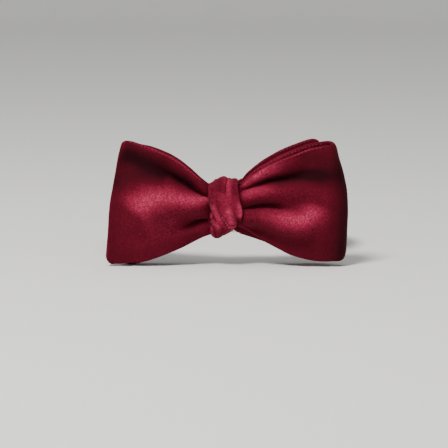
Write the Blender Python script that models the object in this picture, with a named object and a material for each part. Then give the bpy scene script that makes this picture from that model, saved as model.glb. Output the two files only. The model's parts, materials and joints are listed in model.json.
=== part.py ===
"""Self-tied butterfly bow tie on an adjustable neck band.

The frame: +X to the viewer's right, +Y away from the viewer towards the neck, +Z up.
The origin is on the flat rear face of the band where it crosses behind the knot, which is
the face that bears on the collar. The bow stands in front of it (-Y). The neck band is a
ring behind it (+Y) that slopes down to the rear, so that the tie stands on its wings and
on the back of its band.
"""

from math import asin, atan2, cos, degrees, exp, hypot, pi, radians, sin, sqrt

import bpy
from mathutils import Matrix, Vector

MM = 0.001

# Cloth: every strip is a front shell, an interlining and a back shell
SHELL = 0.65 * MM
INTERLINING = 0.5 * MM
CLEARANCE = 0.3 * MM
PLY_STEP = 2.8 * MM
EDGE_INSET = 0.5 * MM

# Bow
WING_RIGHT = 62.4 * MM
WING_LEFT = 61.0 * MM
REAR_LOOP_LEFT = 59.5 * MM
REAR_END_RIGHT = 57.0 * MM
WING_TOP = 35.4 * MM
WING_FOOT = 30.5 * MM
PINCH = 11.4 * MM
FRONT_FULLNESS = 17.0 * MM
FOLD_RELIEF = 2.6 * MM
FULL_REACH = 56.0 * MM
CORNER_RADIUS = 4.0 * MM
LEFT_RIM = (0.105, 3.0)
RIGHT_RIM = (0.053, 4.15)
REAR_PLY_EDGE = 8.6 * MM
FLAT_END_EDGE = 14.2 * MM
LEFT_LOOP_EDGE = 10.4 * MM
STRIP_START = 8.2 * MM
CUT_RUN = 5.0 * MM

# Knot
KNOT_WIDTH = 18.0 * MM
KNOT_WINDOW_HEIGHT = 27.8 * MM
KNOT_WINDOW_FRONT = 14.0 * MM
KNOT_WINDOW_BACK = 2.4 * MM
KNOT_CORNER = 2.6 * MM
KNOT_MOUTH = 20.0 * MM

# Neck band, as a ring
NECK_RADIUS = 61.0 * MM
BAND_WIDTH = 19.0 * MM
BAND_STRAIGHT = 9.5 * MM
BAND_SHELL = 0.6 * MM
BAND_THICKNESS = 2.3 * MM
UPRIGHT_UNTIL = 9.0
LEANING_FROM = 60.0

# Adjuster: places along the ring are arc lengths from the middle of the back,
# positive towards the viewer's left
STRAP_WIDTH = 12.0 * MM
STRAP = 0.6 * MM
STRAP_IN_BAND = 86.0 * MM
BAND_BEND = 97.5 * MM
BEND_GAP = 0.5 * MM
LEFT_BAND_END = 73.8 * MM
SLIDE_PLACE = 44.0 * MM
RIGHT_BAND_END = -13.0 * MM
EYE_LOOP_IN_BAND = -25.0 * MM

# Adjuster hardware
CLOSURE_PLACE = 2.5 * MM
HOOK_REACH = 15.4 * MM
HOOK_PLATE = 1.0 * MM
HOOK_BAR_X = 10.7 * MM
HOOK_RISE = 1.8 * MM
EYE_WIRE = 1.6 * MM
EYE_LENGTH = 9.6 * MM
EYE_WIDTH = 17.2 * MM
EYE_BAR_X = -9.4 * MM
FRAME_WIDTH = 15.2 * MM
FRAME_WINDOW = 12.8 * MM
SLIDE_LENGTH = 10.0 * MM
SLIDE_BAR_RADIUS = NECK_RADIUS + BAND_THICKNESS / 2 - 2.3 * MM
SLIDE_TURN = 1.35 * MM
TACK = 0.5 * MM

# The ring: its centre, its slope and its own axes
RING_Y = sqrt(NECK_RADIUS**2 - BAND_STRAIGHT**2)
BAND_MID = NECK_RADIUS + BAND_THICKNESS / 2
RING_BACK = RING_Y + NECK_RADIUS + BAND_THICKNESS
HALF_BAND = BAND_WIDTH / 2
SLOPE = asin(WING_FOOT / hypot(RING_BACK, HALF_BAND)) - atan2(HALF_BAND, RING_BACK)
RING_X_AXIS = Vector((1, 0, 0))
RING_Y_AXIS = Vector((0, cos(SLOPE), -sin(SLOPE)))
RING_NORMAL = Vector((0, sin(SLOPE), cos(SLOPE)))
RING_CENTRE = RING_Y_AXIS * RING_Y

# The hook's bar sits just inside the strap's own circle
STRAP_TURN = 1.3 * MM
HOOK_BAR_RADIUS = BAND_MID - STRAP_TURN
CLOSURE_RADIUS = sqrt(HOOK_BAR_RADIUS**2 - HOOK_BAR_X**2) - HOOK_RISE
EYE_BAR_RADIUS = hypot(CLOSURE_RADIUS, EYE_BAR_X)
CLOSURE_ANGLE = CLOSURE_PLACE / BAND_MID
HOOK_BAR_PLACE = BAND_MID * (CLOSURE_ANGLE + atan2(HOOK_BAR_X, CLOSURE_RADIUS + HOOK_RISE))
EYE_BAR_PLACE = BAND_MID * (CLOSURE_ANGLE + atan2(EYE_BAR_X, CLOSURE_RADIUS))

VELVET = ("velvet", (0.19, 0.008, 0.024), 0.9, 0.0)
LINING = ("lining", (0.62, 0.58, 0.52), 0.85, 0.0)
RIBBON = ("ribbon", (0.045, 0.004, 0.009), 0.6, 0.0)
THREAD = ("thread", (0.13, 0.006, 0.018), 0.6, 0.0)
METAL = ("metal", (0.62, 0.61, 0.58), 0.25, 1.0)


def clear_scene():
    """Remove what the file opens with."""
    for item in list(bpy.data.objects):
        bpy.data.objects.remove(item, do_unlink=True)


def material(finish, node):
    """Make a node's own material from a finish: label, colour, roughness, metallic."""
    label, colour, roughness, metallic = finish
    made = bpy.data.materials.new(f"{label}_{node}")
    made.use_nodes = True
    shader = made.node_tree.nodes["Principled BSDF"]
    shader.inputs["Base Color"].default_value = (*colour, 1)
    shader.inputs["Roughness"].default_value = roughness
    shader.inputs["Metallic"].default_value = metallic
    made.diffuse_color = (*colour, 1)
    return made


def add_object(name, mesh, finish=None):
    """Put a mesh in the scene as a named object."""
    item = bpy.data.objects.new(name, mesh)
    bpy.context.scene.collection.objects.link(item)
    if finish:
        mesh.materials.append(material(finish, name))
    return item


def blend_step(low, high, value):
    """Rise smoothly from 0 at low to 1 at high."""
    t = min(max((value - low) / (high - low), 0), 1)
    return t * t * (3 - 2 * t)


def spread(low, high, count):
    """Give count + 1 even steps from low to high."""
    return [low + (high - low) * i / count for i in range(count + 1)]


def cloth(name, rows, thickness, finish):
    """Thicken a grid of points, given as rows across a strip, into one layer of cloth."""
    wide = len(rows[0])
    points = [point for row in rows for point in row]
    faces = [
        (i * wide + j, i * wide + j + 1, (i + 1) * wide + j + 1, (i + 1) * wide + j)
        for i in range(len(rows) - 1)
        for j in range(wide - 1)
    ]
    mesh = bpy.data.meshes.new(name)
    mesh.from_pydata(points, [], faces)
    mesh.shade_smooth()
    mesh.set_sharp_from_angle(angle=radians(40))
    item = add_object(name, mesh, finish)
    wall = item.modifiers.new("thickness", "SOLIDIFY")
    wall.thickness = thickness
    wall.offset = 0
    return item


def block(name, low, high, finish=None):
    """Make a box between two corners."""
    xs, ys, zs = zip(low, high)
    points = [(x, y, z) for x in xs for y in ys for z in zs]
    faces = [(0, 1, 3, 2), (4, 6, 7, 5), (0, 4, 5, 1), (2, 3, 7, 6), (0, 2, 6, 4), (1, 5, 7, 3)]
    mesh = bpy.data.meshes.new(name)
    mesh.from_pydata(points, [], faces)
    return add_object(name, mesh, finish)


def combine(item, tool, operation):
    """Cut a tool from an object, or join it on, and keep the tool as a hidden guide."""
    tool.hide_render = True
    tool.display_type = "WIRE"
    tool.parent = item
    step = item.modifiers.new(tool.name, "BOOLEAN")
    step.operation = operation
    step.solver = "EXACT"
    step.object = tool


def soften(item, width):
    """Round the edges of a stamped metal piece."""
    edge = item.modifiers.new("edges", "BEVEL")
    edge.width = width
    edge.segments = 1
    edge.limit_method = "ANGLE"
    edge.angle_limit = radians(40)


# The bow: plan paths in X and Y, with the height as a function of the place across it


def wing_slant(x, z):
    """Lean a wing's outer edge: how far a point moves outwards at a height."""
    lean, bow = LEFT_RIM if x < 0 else RIGHT_RIM
    wing = WING_LEFT if x < 0 else WING_RIGHT
    shift = (lean * z + bow * z * z) * (abs(x) / wing) ** 1.5
    return shift if x < 0 else -shift


def wing_height(x, end_gap=1.0):
    """Give a strip's lower and upper edge at a place, rounded off near a cut end."""
    t = min(max((abs(x) - KNOT_WIDTH / 2) / (FULL_REACH - KNOT_WIDTH / 2), 0), 1)
    rise = sin(t * pi / 2) ** 0.85
    cut = 0.0
    if end_gap < CORNER_RADIUS:
        cut = CORNER_RADIUS - sqrt(max(CORNER_RADIUS**2 - (CORNER_RADIUS - end_gap) ** 2, 0))
    low = -(PINCH + (WING_FOOT - PINCH) * rise - cut)
    high = PINCH + (WING_TOP - PINCH) * rise - cut
    return low, high


def fold_relief(x, z):
    """Push the wings forward in soft ridges that fan out from the knot."""
    reach = blend_step(KNOT_WIDTH / 2, 26 * MM, abs(x)) * (1 - blend_step(30 * MM, 56 * MM, abs(x)))
    angle = degrees(atan2(z, abs(x) + 1 * MM))
    ridges = exp(-(((angle - 10) / 13) ** 2)) + 0.8 * exp(-(((angle + 24) / 9) ** 2))
    return -FOLD_RELIEF * reach * ridges


def plan(x, inner, outer, wing, bulge=0.0):
    """Place a ply in depth: from its level in the knot to its level at the wing's edge."""
    t = min(max((abs(x) - KNOT_WIDTH / 2) / (wing - KNOT_WIDTH / 2), 0), 1)
    return -(inner + (outer - inner) * blend_step(0, 1, t) + bulge * sin(pi * t) ** 2)


def knot_level(ply):
    """Give the depth of a ply in the knot, counted from the front."""
    return KNOT_WINDOW_FRONT - PLY_STEP / 2 - 0.2 * MM - ply * PLY_STEP


def fold(centre_x, centre_y, radius, side, front_first):
    """Turn a strip round at a wing's outer edge."""
    turn = [(i + 0.5) / 8 * pi for i in range(8)]
    way = -1 if front_first else 1
    return [(centre_x + side * radius * sin(a), centre_y + way * radius * cos(a)) for a in turn]


def blade_a_path():
    """Run from inside the knot to the right, fold forwards, and end flat on the left."""
    rear = knot_level(1)
    edge = REAR_PLY_EDGE
    radius = (FRONT_FULLNESS - edge) / 2
    start = WING_RIGHT - radius
    path = [(x, plan(x, rear, edge, start)) for x in spread(-STRIP_START, start, 13)]
    path += fold(start, -(FRONT_FULLNESS + edge) / 2, radius, 1, False)
    front = knot_level(0)
    path += [(x, plan(x, front, FRONT_FULLNESS, start, 2.5 * MM)) for x in spread(start, 0, 12)]
    flat = spread(0, CUT_RUN - WING_LEFT, 11)[1:] + spread(CUT_RUN - WING_LEFT, -WING_LEFT, 6)[1:]
    path += [(x, plan(x, front, FLAT_END_EDGE, WING_LEFT, 1.5 * MM)) for x in flat]
    return path


def blade_b_path():
    """Run from inside the knot to the left, fold backwards, and end flat on the right."""
    front = knot_level(2)
    rear = knot_level(3)
    edge = LEFT_LOOP_EDGE
    radius = (edge - rear) / 2
    start = REAR_LOOP_LEFT - radius
    path = [(-x, plan(x, front, edge, start)) for x in spread(-STRIP_START, start, 13)]
    path += fold(-start, -(edge + rear) / 2, radius, -1, True)
    path += [(-x, plan(x, rear, rear, start)) for x in spread(start, 0, 10)]
    flat = spread(0, REAR_END_RIGHT - CUT_RUN, 10)[1:]
    flat += spread(REAR_END_RIGHT - CUT_RUN, REAR_END_RIGHT, 6)[1:]
    path += [(x, plan(x, rear, rear + 0.4 * MM, REAR_END_RIGHT)) for x in flat]
    return path


def strip_rows(path, offset, inset):
    """Lay rows of points from edge to edge along a plan path, offset to one side of it."""
    rows = []
    end_x, end_y = path[-1]
    for i, (x, y) in enumerate(path):
        before = path[max(i - 1, 0)]
        after = path[min(i + 1, len(path) - 1)]
        along = Vector((after[0] - before[0], after[1] - before[1], 0)).normalized()
        side = Vector((along.y, -along.x, 0))
        low, high = wing_height(x, hypot(x - end_x, y - end_y))
        row = []
        for z in spread(low + inset, high - inset, 4):
            point = Vector((x, y, z)) + side * offset
            point.x += wing_slant(point.x, z)
            point.y += fold_relief(point.x, z)
            row.append(point)
        rows.append(row)
    return rows


def make_blade(name, path, outer_side):
    """Make a blade's front shell, interlining and back shell along one path."""
    step = (SHELL + INTERLINING) / 2 + CLEARANCE
    cloth(f"{name}_front_shell", strip_rows(path, outer_side * step, 0), SHELL, VELVET)
    cloth(f"{name}_interlining", strip_rows(path, 0, 2 * EDGE_INSET), INTERLINING, LINING)
    cloth(f"{name}_back_shell", strip_rows(path, -outer_side * step, EDGE_INSET), SHELL, VELVET)


# The knot: one narrow strip wrapped round the pinched centre, open at the back for the band


def wrap_rows(offset, half_width):
    """Run round the knot's window from the lower lip, over the front, to the upper lip."""
    half = KNOT_WINDOW_HEIGHT / 2 - KNOT_CORNER
    front = -KNOT_WINDOW_FRONT + KNOT_CORNER
    back = -KNOT_WINDOW_BACK - KNOT_CORNER
    radius = KNOT_CORNER + offset
    corners = [(back, -half, 0), (front, -half, -90), (front, half, -180), (back, half, -270)]
    path = [(back + radius, -KNOT_MOUTH / 2)]
    for y, z, first in corners:
        for step in spread(first, first - 90, 5):
            path.append((y + radius * cos(radians(step)), z + radius * sin(radians(step))))
    path.append((back + radius, KNOT_MOUTH / 2))
    rows = []
    for y, z in path:
        reach = half_width - 1.2 * MM * (z / (KNOT_WINDOW_HEIGHT / 2)) ** 2
        rows.append([Vector((x, y, z)) for x in (-reach, 0, reach)])
    return rows


def make_knot():
    """Make the three layers of the strip that is wrapped round the centre."""
    lining = SHELL / 2
    middle = SHELL + CLEARANCE + INTERLINING / 2
    outer = SHELL * 1.5 + 2 * CLEARANCE + INTERLINING
    half = KNOT_WIDTH / 2
    cloth("knot_wrap_front_shell", wrap_rows(outer, half), SHELL, VELVET)
    cloth("knot_wrap_interlining", wrap_rows(middle, half - 2 * EDGE_INSET), INTERLINING, LINING)
    cloth("knot_wrap_back_shell", wrap_rows(lining, half - EDGE_INSET), SHELL, VELVET)


# The neck band: strips along the ring


def ring_axes(place):
    """Give the ring's tangent and outward direction at an arc length from the back."""
    angle = place / BAND_MID
    outward = RING_Y_AXIS * cos(angle) - RING_X_AXIS * sin(angle)
    tangent = -RING_Y_AXIS * sin(angle) - RING_X_AXIS * cos(angle)
    return tangent, outward


def ring_point(place, radius, height=0.0):
    """Give a point on the ring: arc length from the back, radius, height along its normal."""
    _, outward = ring_axes(place)
    return RING_CENTRE + outward * radius + RING_NORMAL * height


def band_row(place, depth, half_width):
    """Cross the band at a place; it stands upright behind the knot and leans further round."""
    tangent, outward = ring_axes(place)
    from_front = 180 - degrees(abs(place) / BAND_MID)
    lean = blend_step(UPRIGHT_UNTIL, LEANING_FROM, from_front)
    up = Vector((0, 0, 1)).lerp(RING_NORMAL, lean)
    out = tangent.cross(up).normalized()
    if out.dot(outward) < 0:
        out = -out
    up = out.cross(tangent).normalized()
    if up.z < 0:
        up = -up
    base = RING_CENTRE + outward * NECK_RADIUS + out * depth
    return [base + up * height for height in (-half_width, 0, half_width)]


def straight_row(x, depth, half_width):
    """Cross the band's flat stretch behind the knot."""
    return [Vector((x, -depth, height)) for height in (-half_width, 0, half_width)]


def in_closure(place):
    """Tell whether a place is where the eye loop lies inside the right band."""
    return EYE_LOOP_IN_BAND - 1.0 * MM < place < 0


def make_band(name, places, straight, layers=("outer_shell", "interlining", "inner_shell")):
    """Make a band's layers along a list of places, after an optional flat stretch."""
    middle = BAND_THICKNESS / 2
    builds = {
        "outer_shell": (BAND_THICKNESS - BAND_SHELL / 2, 0, BAND_SHELL, VELVET),
        "interlining": (middle, EDGE_INSET, INTERLINING, LINING),
        "inner_shell": (BAND_SHELL / 2, 0, BAND_SHELL, VELVET),
    }
    for layer in layers:
        depth, inset, thickness, finish = builds[layer]
        half = HALF_BAND - inset
        stops = places
        if layer == "interlining":
            stops = [place for place in places if not in_closure(place)]
        rows = [straight_row(x, depth, half) for x in straight]
        rows += [band_row(place, depth, half) for place in stops]
        cloth(f"{name}_{layer}", rows, thickness, finish)


def make_bands():
    """Make the right band, and the left band in two lengths either side of its bend."""
    front = BAND_MID * (pi - asin(BAND_STRAIGHT / NECK_RADIUS))
    make_band("right_band", spread(-front, RIGHT_BAND_END, 34)[1:], [-9.0 * MM, 0, BAND_STRAIGHT])
    clear_of_knot = front - 0.6 * MM
    make_band("left_band", spread(clear_of_knot, BAND_BEND + BEND_GAP / 2, 16), [])
    behind = spread(BAND_BEND - BEND_GAP / 2, LEFT_BAND_END, 6)
    make_band("left_band_tab", behind, [], ("outer_shell", "inner_shell"))


# The adjuster's straps, as ribbons along paths of (place, radius)


def ribbon(name, path, half_width, thickness, finish):
    """Make a ribbon along ring places and radii."""
    rows = [[ring_point(s, r, h) for h in (-half_width, half_width)] for s, r in path]
    return cloth(name, rows, thickness, finish)


def turn_round(place, radius, turn, first, last, count=8):
    """Go round a bar that stands at a place and a radius."""
    steps = [radians(a) for a in spread(first, last, count)]
    return [(place + turn * cos(a), radius + turn * sin(a)) for a in steps]


def make_straps():
    """Make the strap's main run, its return leg and the loop that carries the eye."""
    half = STRAP_WIDTH / 2
    run = [(s, BAND_MID) for s in spread(STRAP_IN_BAND, HOOK_BAR_PLACE + 1.5 * MM, 26)]
    run += turn_round(HOOK_BAR_PLACE, HOOK_BAR_RADIUS, STRAP_TURN, 90, 270)
    run.append((HOOK_BAR_PLACE + 1.2 * MM, HOOK_BAR_RADIUS - STRAP_TURN))
    ribbon("strap_main_run", run, half, STRAP, RIBBON)

    bar = SLIDE_BAR_RADIUS
    low = HOOK_BAR_RADIUS - STRAP_TURN
    turn = SLIDE_TURN
    leg = [(HOOK_BAR_PLACE + 1.9 * MM, low)]
    for s in spread(HOOK_BAR_PLACE + 4 * MM, SLIDE_PLACE - 4 * MM, 10):
        step = blend_step(HOOK_BAR_PLACE + 4 * MM, SLIDE_PLACE - 4 * MM, s)
        leg.append((s, low + (bar - turn - low) * step))
    leg += turn_round(SLIDE_PLACE, bar, turn, -90, 90)
    leg.append((SLIDE_PLACE - 4.5 * MM, bar + turn))
    ribbon("strap_return_leg", leg, half, STRAP, RIBBON)

    turn = EYE_WIRE / 2 + CLEARANCE + STRAP / 2
    loop = [(EYE_LOOP_IN_BAND, BAND_MID), (-19 * MM, BAND_MID), (-12.4 * MM, BAND_MID)]
    loop += turn_round(EYE_BAR_PLACE, EYE_BAR_RADIUS, turn, 90, -90)
    loop.append((-12 * MM, EYE_BAR_RADIUS - turn - 0.3 * MM))
    loop.append((-18 * MM, NECK_RADIUS - CLEARANCE - STRAP / 2))
    ribbon("eye_loop", loop, half, STRAP, RIBBON)


def make_tacks():
    """Make the dense rows of stitches that close the straps."""
    tack_row = 10.0 * MM / 2
    over_band = NECK_RADIUS + BAND_THICKNESS + CLEARANCE + TACK / 2
    for name, place, radius in (
        ("tack_strap_to_band", LEFT_BAND_END + 4 * MM, over_band),
        ("tack_eye_loop", RIGHT_BAND_END - 3 * MM, over_band),
    ):
        path = [(place + step, radius) for step in spread(-0.8 * MM, 0.8 * MM, 2)]
        ribbon(name, path, tack_row, TACK, THREAD)
    under = SLIDE_BAR_RADIUS - SLIDE_TURN - STRAP / 2 - CLEARANCE - TACK / 2
    path = [(SLIDE_PLACE - 2.8 * MM + step, under) for step in spread(-0.8 * MM, 0.8 * MM, 2)]
    ribbon("tack_return_leg", path, tack_row, TACK, THREAD)


# The adjuster's metal pieces, each in its own frame: X along the band, Y outwards, Z up


def ring_frame(place, origin):
    """Give the placing of a piece whose X runs along the ring at a place."""
    tangent, outward = ring_axes(place)
    turned = Matrix((-tangent, outward, RING_NORMAL)).transposed()
    return Matrix.Translation(origin) @ turned.to_4x4()


def make_slide():
    """Make the slide: two rails, two outer bars and a lower middle bar for the strap's end."""
    half_window = FRAME_WINDOW / 2
    half_length = SLIDE_LENGTH / 2
    top = STRAP / 2 + CLEARANCE + 1.0 * MM
    bottom = -2.8 * MM
    slide = block(
        "slide",
        (-half_length, bottom, -FRAME_WIDTH / 2),
        (half_length, top, FRAME_WIDTH / 2),
        METAL,
    )
    far = 20 * MM
    cuts = {
        "strap_way": ((-far, -1.8 * MM, -half_window), (far, top - 1.0 * MM, half_window)),
        "outer_window": ((-3.8 * MM, 0, -half_window), (3.8 * MM, far, half_window)),
        "near_window": ((0.5 * MM, -far, -half_window), (far, -1.7 * MM, half_window)),
        "far_window": ((-far, -far, -half_window), (-0.5 * MM, -1.7 * MM, half_window)),
    }
    for name, (low, high) in cuts.items():
        combine(slide, block(f"slide_{name}", low, high), "DIFFERENCE")
    soften(slide, 0.15 * MM)
    pivot = bpy.data.objects.new("slide_axis", None)
    bpy.context.scene.collection.objects.link(pivot)
    pivot.location = RING_CENTRE
    slide.parent = pivot
    slide.matrix_local = Matrix.Translation(-RING_CENTRE) @ ring_frame(
        SLIDE_PLACE, ring_point(SLIDE_PLACE, BAND_MID)
    )


def make_hook():
    """Make the hook: a plate with a strap slot at one end and a turned-down lip at the other."""
    half_plate = HOOK_PLATE / 2
    half_frame = FRAME_WIDTH / 2
    lip_half = 4.0 * MM
    shoulder = 6.0 * MM
    outline = [
        (-half_plate, -half_frame),
        (shoulder - 2.5 * MM, -half_frame),
        (shoulder + 2.0 * MM, -lip_half),
        (HOOK_REACH, -lip_half),
    ]
    outline += [(x, -z) for x, z in reversed(outline)]
    count = len(outline)
    points = [(x, y, z) for y in (-half_plate, half_plate) for x, z in outline]
    faces = [tuple(range(count)), tuple(reversed(range(count, 2 * count)))]
    faces += [(i, i + count, (i + 1) % count + count, (i + 1) % count) for i in range(count)]
    mesh = bpy.data.meshes.new("hook")
    mesh.from_pydata(points, [], faces)
    hook = add_object("hook", mesh, METAL)
    low = (half_plate, -5 * MM, -FRAME_WINDOW / 2)
    high = (half_plate + 2.2 * MM, 5 * MM, FRAME_WINDOW / 2)
    combine(hook, block("hook_slot", low, high), "DIFFERENCE")
    lip_depth = HOOK_RISE + EYE_WIRE / 2 + 1.0 * MM
    low = (HOOK_REACH - HOOK_PLATE, -lip_depth, -lip_half)
    high = (HOOK_REACH, 0, lip_half)
    combine(hook, block("hook_lip", low, high), "UNION")
    soften(hook, 0.15 * MM)
    hook.matrix_world = ring_frame(CLOSURE_PLACE, ring_point(HOOK_BAR_PLACE, HOOK_BAR_RADIUS))


def make_eye():
    """Make the eye: a round wire bent into a closed oblong ring, about its loop-side bar."""
    corner = 1.2 * MM
    far = EYE_LENGTH
    half = EYE_WIDTH / 2 - EYE_WIRE / 2
    centres = [(-corner, half - corner, 0), (-far + corner, half - corner, 90)]
    centres += [(-far + corner, corner - half, 180), (-corner, corner - half, 270)]
    path = []
    for x, z, first in centres:
        for step in spread(first, first + 90, 4):
            path.append((x + corner * cos(radians(step)), z + corner * sin(radians(step))))
    curve = bpy.data.curves.new("eye", "CURVE")
    curve.dimensions = "3D"
    curve.bevel_depth = EYE_WIRE / 2
    curve.bevel_resolution = 2
    wire = curve.splines.new("POLY")
    wire.points.add(len(path) - 1)
    wire.use_cyclic_u = True
    for point, (x, z) in zip(wire.points, path):
        point.co = (x, 0, z, 1)
    eye = bpy.data.objects.new("eye", curve)
    bpy.context.scene.collection.objects.link(eye)
    curve.materials.append(material(METAL, "eye"))
    eye.matrix_world = ring_frame(CLOSURE_PLACE, ring_point(EYE_BAR_PLACE, EYE_BAR_RADIUS))


def main():
    """Build every piece, in the order it is sewn and threaded."""
    clear_scene()
    make_blade("blade_a", blade_a_path(), 1)
    make_blade("blade_b", blade_b_path(), -1)
    make_knot()
    make_bands()
    make_straps()
    make_tacks()
    make_slide()
    make_hook()
    make_eye()


main()
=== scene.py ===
"""Looks of a self-tied velvet bow tie on its adjustable neck band.

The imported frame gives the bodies, the joints and the collision solids. This script lays
sewn velvet, ribbon, thread and plated metal over them, sets up the studio and reports what
it made.
"""

import json
import logging
from dataclasses import dataclass
from enum import Enum
from math import cos, pi, radians, sin, sqrt

import bpy
import numpy as np
from mathutils import Matrix, Vector


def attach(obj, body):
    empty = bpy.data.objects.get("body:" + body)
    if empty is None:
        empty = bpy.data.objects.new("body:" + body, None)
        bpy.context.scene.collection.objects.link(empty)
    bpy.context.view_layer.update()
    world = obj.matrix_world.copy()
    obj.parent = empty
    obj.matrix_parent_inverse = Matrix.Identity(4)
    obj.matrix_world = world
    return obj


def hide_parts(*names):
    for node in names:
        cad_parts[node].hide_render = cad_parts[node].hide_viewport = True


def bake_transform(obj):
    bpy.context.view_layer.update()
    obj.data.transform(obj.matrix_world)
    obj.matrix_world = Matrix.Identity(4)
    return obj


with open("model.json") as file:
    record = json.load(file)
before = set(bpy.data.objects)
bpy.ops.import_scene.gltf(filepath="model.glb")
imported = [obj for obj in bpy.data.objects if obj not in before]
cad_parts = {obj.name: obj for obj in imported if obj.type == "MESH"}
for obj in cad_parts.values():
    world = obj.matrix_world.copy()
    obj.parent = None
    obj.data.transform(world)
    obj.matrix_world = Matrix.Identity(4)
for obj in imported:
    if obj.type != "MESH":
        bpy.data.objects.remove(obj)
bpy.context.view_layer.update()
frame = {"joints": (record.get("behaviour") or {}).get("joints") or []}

MM = 0.001
LOG = logging.getLogger("bow_tie")

Grid = np.ndarray
Colour = tuple[float, float, float]
JOINTS = {joint["name"]: joint for joint in frame["joints"]}


class Wing(Enum):
    """The two wings of the bow, as the viewer sees them."""

    LEFT = -1
    RIGHT = 1


# ---------------------------------------------------------------- curves and reliefs


def smooth(low: float, high: float, value: Grid) -> Grid:
    """Rise smoothly from 0 at low to 1 at high.

    Args:
        low: Where the rise starts.
        high: Where the rise ends.
        value: Where to read it.

    Returns:
        The risen share at each value.
    """
    t = np.clip((np.asarray(value, float) - low) / (high - low), 0, 1)
    return t * t * (3 - 2 * t)


def rounded(points: list[tuple[float, ...]], per_span: int = 12) -> Grid:
    """Draw a smooth curve through a few points.

    Args:
        points: The points it passes through, in millimetres.
        per_span: Steps between two points.

    Returns:
        Points along the curve, in metres.
    """
    p = np.array(points, float) * MM
    padded = np.vstack([2 * p[0] - p[1], p, 2 * p[-1] - p[-2]])
    out = []
    for i in range(1, len(padded) - 2):
        a, b, c, d = padded[i - 1 : i + 3]
        for t in np.linspace(0, 1, per_span, endpoint=False):
            out.append(
                0.5
                * (
                    2 * b
                    + (c - a) * t
                    + (2 * a - 5 * b + 4 * c - d) * t**2
                    + (3 * b - a - 3 * c + d) * t**3
                )
            )
    out.append(p[-1])
    return np.array(out)


def run_along(points: Grid) -> Grid:
    """Measure how far along a line each of its points lies.

    Args:
        points: The line's points, one to a row.

    Returns:
        The distance of each point from the first, along the line.
    """
    steps = np.linalg.norm(np.diff(points, axis=0), axis=1)
    return np.concatenate([[0], np.cumsum(steps)])


@dataclass(frozen=True)
class Edge:
    """A smooth edge: one coordinate as a function of another, through points in millimetres."""

    points: list[tuple[float, float]]

    def at(self, value: Grid) -> Grid:
        """Read the edge.

        Args:
            value: Places along it, in metres.

        Returns:
            The edge's height or reach there, in metres.
        """
        curve = rounded(self.points)
        order = np.argsort(curve[:, 0])
        return np.interp(value, curve[order, 0], curve[order, 1])


@dataclass(frozen=True)
class Crease:
    """A fold line in the cloth, as the viewer sees it from the front.

    A positive rise is a ridge and a negative one is a valley. The fold is narrow at its
    first point and wide at its last. It grows in over its start share and dies away after
    its fade share, and a lean makes one side of it broader. Sizes are in millimetres.
    The same shape also lays strokes of painted light and shade on the velvet, where a positive rise is a
    painted highlight and a negative one painted shade.
    """

    points: list[tuple[float, float]]
    rise: float
    narrow: float
    wide: float
    start: float = 0.0
    fade: float = 0.55
    lean: float = 0.0

    def relief(self, x: Grid, z: Grid) -> Grid:
        """Give how far the fold lifts the cloth towards the viewer.

        Args:
            x: Places across.
            z: Places up.

        Returns:
            The lift at each place, in metres.
        """
        curve = rounded(self.points, 8)
        along = run_along(curve)
        share = along / along[-1]
        best = np.full(x.shape, np.inf)
        at = np.zeros(x.shape)
        side = np.zeros(x.shape)
        for i in range(len(curve) - 1):
            ax, az = curve[i]
            dx, dz = curve[i + 1] - curve[i]
            size = dx * dx + dz * dz
            t = np.clip(((x - ax) * dx + (z - az) * dz) / size, 0, 1)
            gap_x, gap_z = x - ax - t * dx, z - az - t * dz
            gap = gap_x**2 + gap_z**2
            near = gap < best
            best = np.where(near, gap, best)
            at = np.where(near, share[i] + t * (share[i + 1] - share[i]), at)
            side = np.where(near, np.sign(gap_z), side)
        width = (self.narrow + (self.wide - self.narrow) * at) * MM
        width = width * (1 + self.lean * side)
        live = 1 - smooth(self.fade, 1.0, at) if self.fade < 1 else np.ones(x.shape)
        if self.start:
            live = live * smooth(0, self.start, at)
        return self.rise * MM * live * np.exp(-best / width**2)


def total_relief(creases: list[Crease], x: Grid, z: Grid) -> Grid:
    """Add up the folds of one wing or of the knot.

    Args:
        creases: The folds.
        x: Places across.
        z: Places up.

    Returns:
        The sum of their lifts at each place, in metres.
    """
    out = np.zeros(x.shape)
    for crease in creases:
        out = out + crease.relief(x, z)
    return out


# ---------------------------------------------------------------- sewn strips


# The level at which the velvet keeps its plain colour, with no light or shade painted on it, and the
# bounds of the painted level.
NEUTRAL_LIGHT_LEVEL = 0.36
PAINTED_LIGHT_LIMITS = (0.03, 1.0)
PATTERN_PER_METRE = 100
SURFACE_STEP = 1e-3


@dataclass(frozen=True)
class Seam:
    """How a sewn edge is rounded: steps in from the edge, in millimetres, and the fullness at each."""

    insets: tuple[float, ...] = (0.24, 0.0, 0.07, 0.26, 0.62, 1.25)
    fullness: tuple[float, ...] = (0.0, 0.42, 0.66, 0.87, 0.97, 1.0)


def edge_steps(seam: Seam, length: float, count: int) -> tuple[Grid, Grid]:
    """Space points between two seams.

    Args:
        seam: The seam at both ends.
        length: The distance between the ends, in metres.
        count: Steps in the plain stretch between them.

    Returns:
        Distances from the first end, and the fullness of the strip at each.
    """
    insets = np.array(seam.insets) * MM
    inner = np.linspace(insets[-1], length - insets[-1], count + 1)[1:-1]
    places = np.concatenate([insets, inner, length - insets[::-1]])
    full = np.concatenate([seam.fullness, np.ones(len(inner)), seam.fullness[::-1]])
    return places, full


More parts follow.
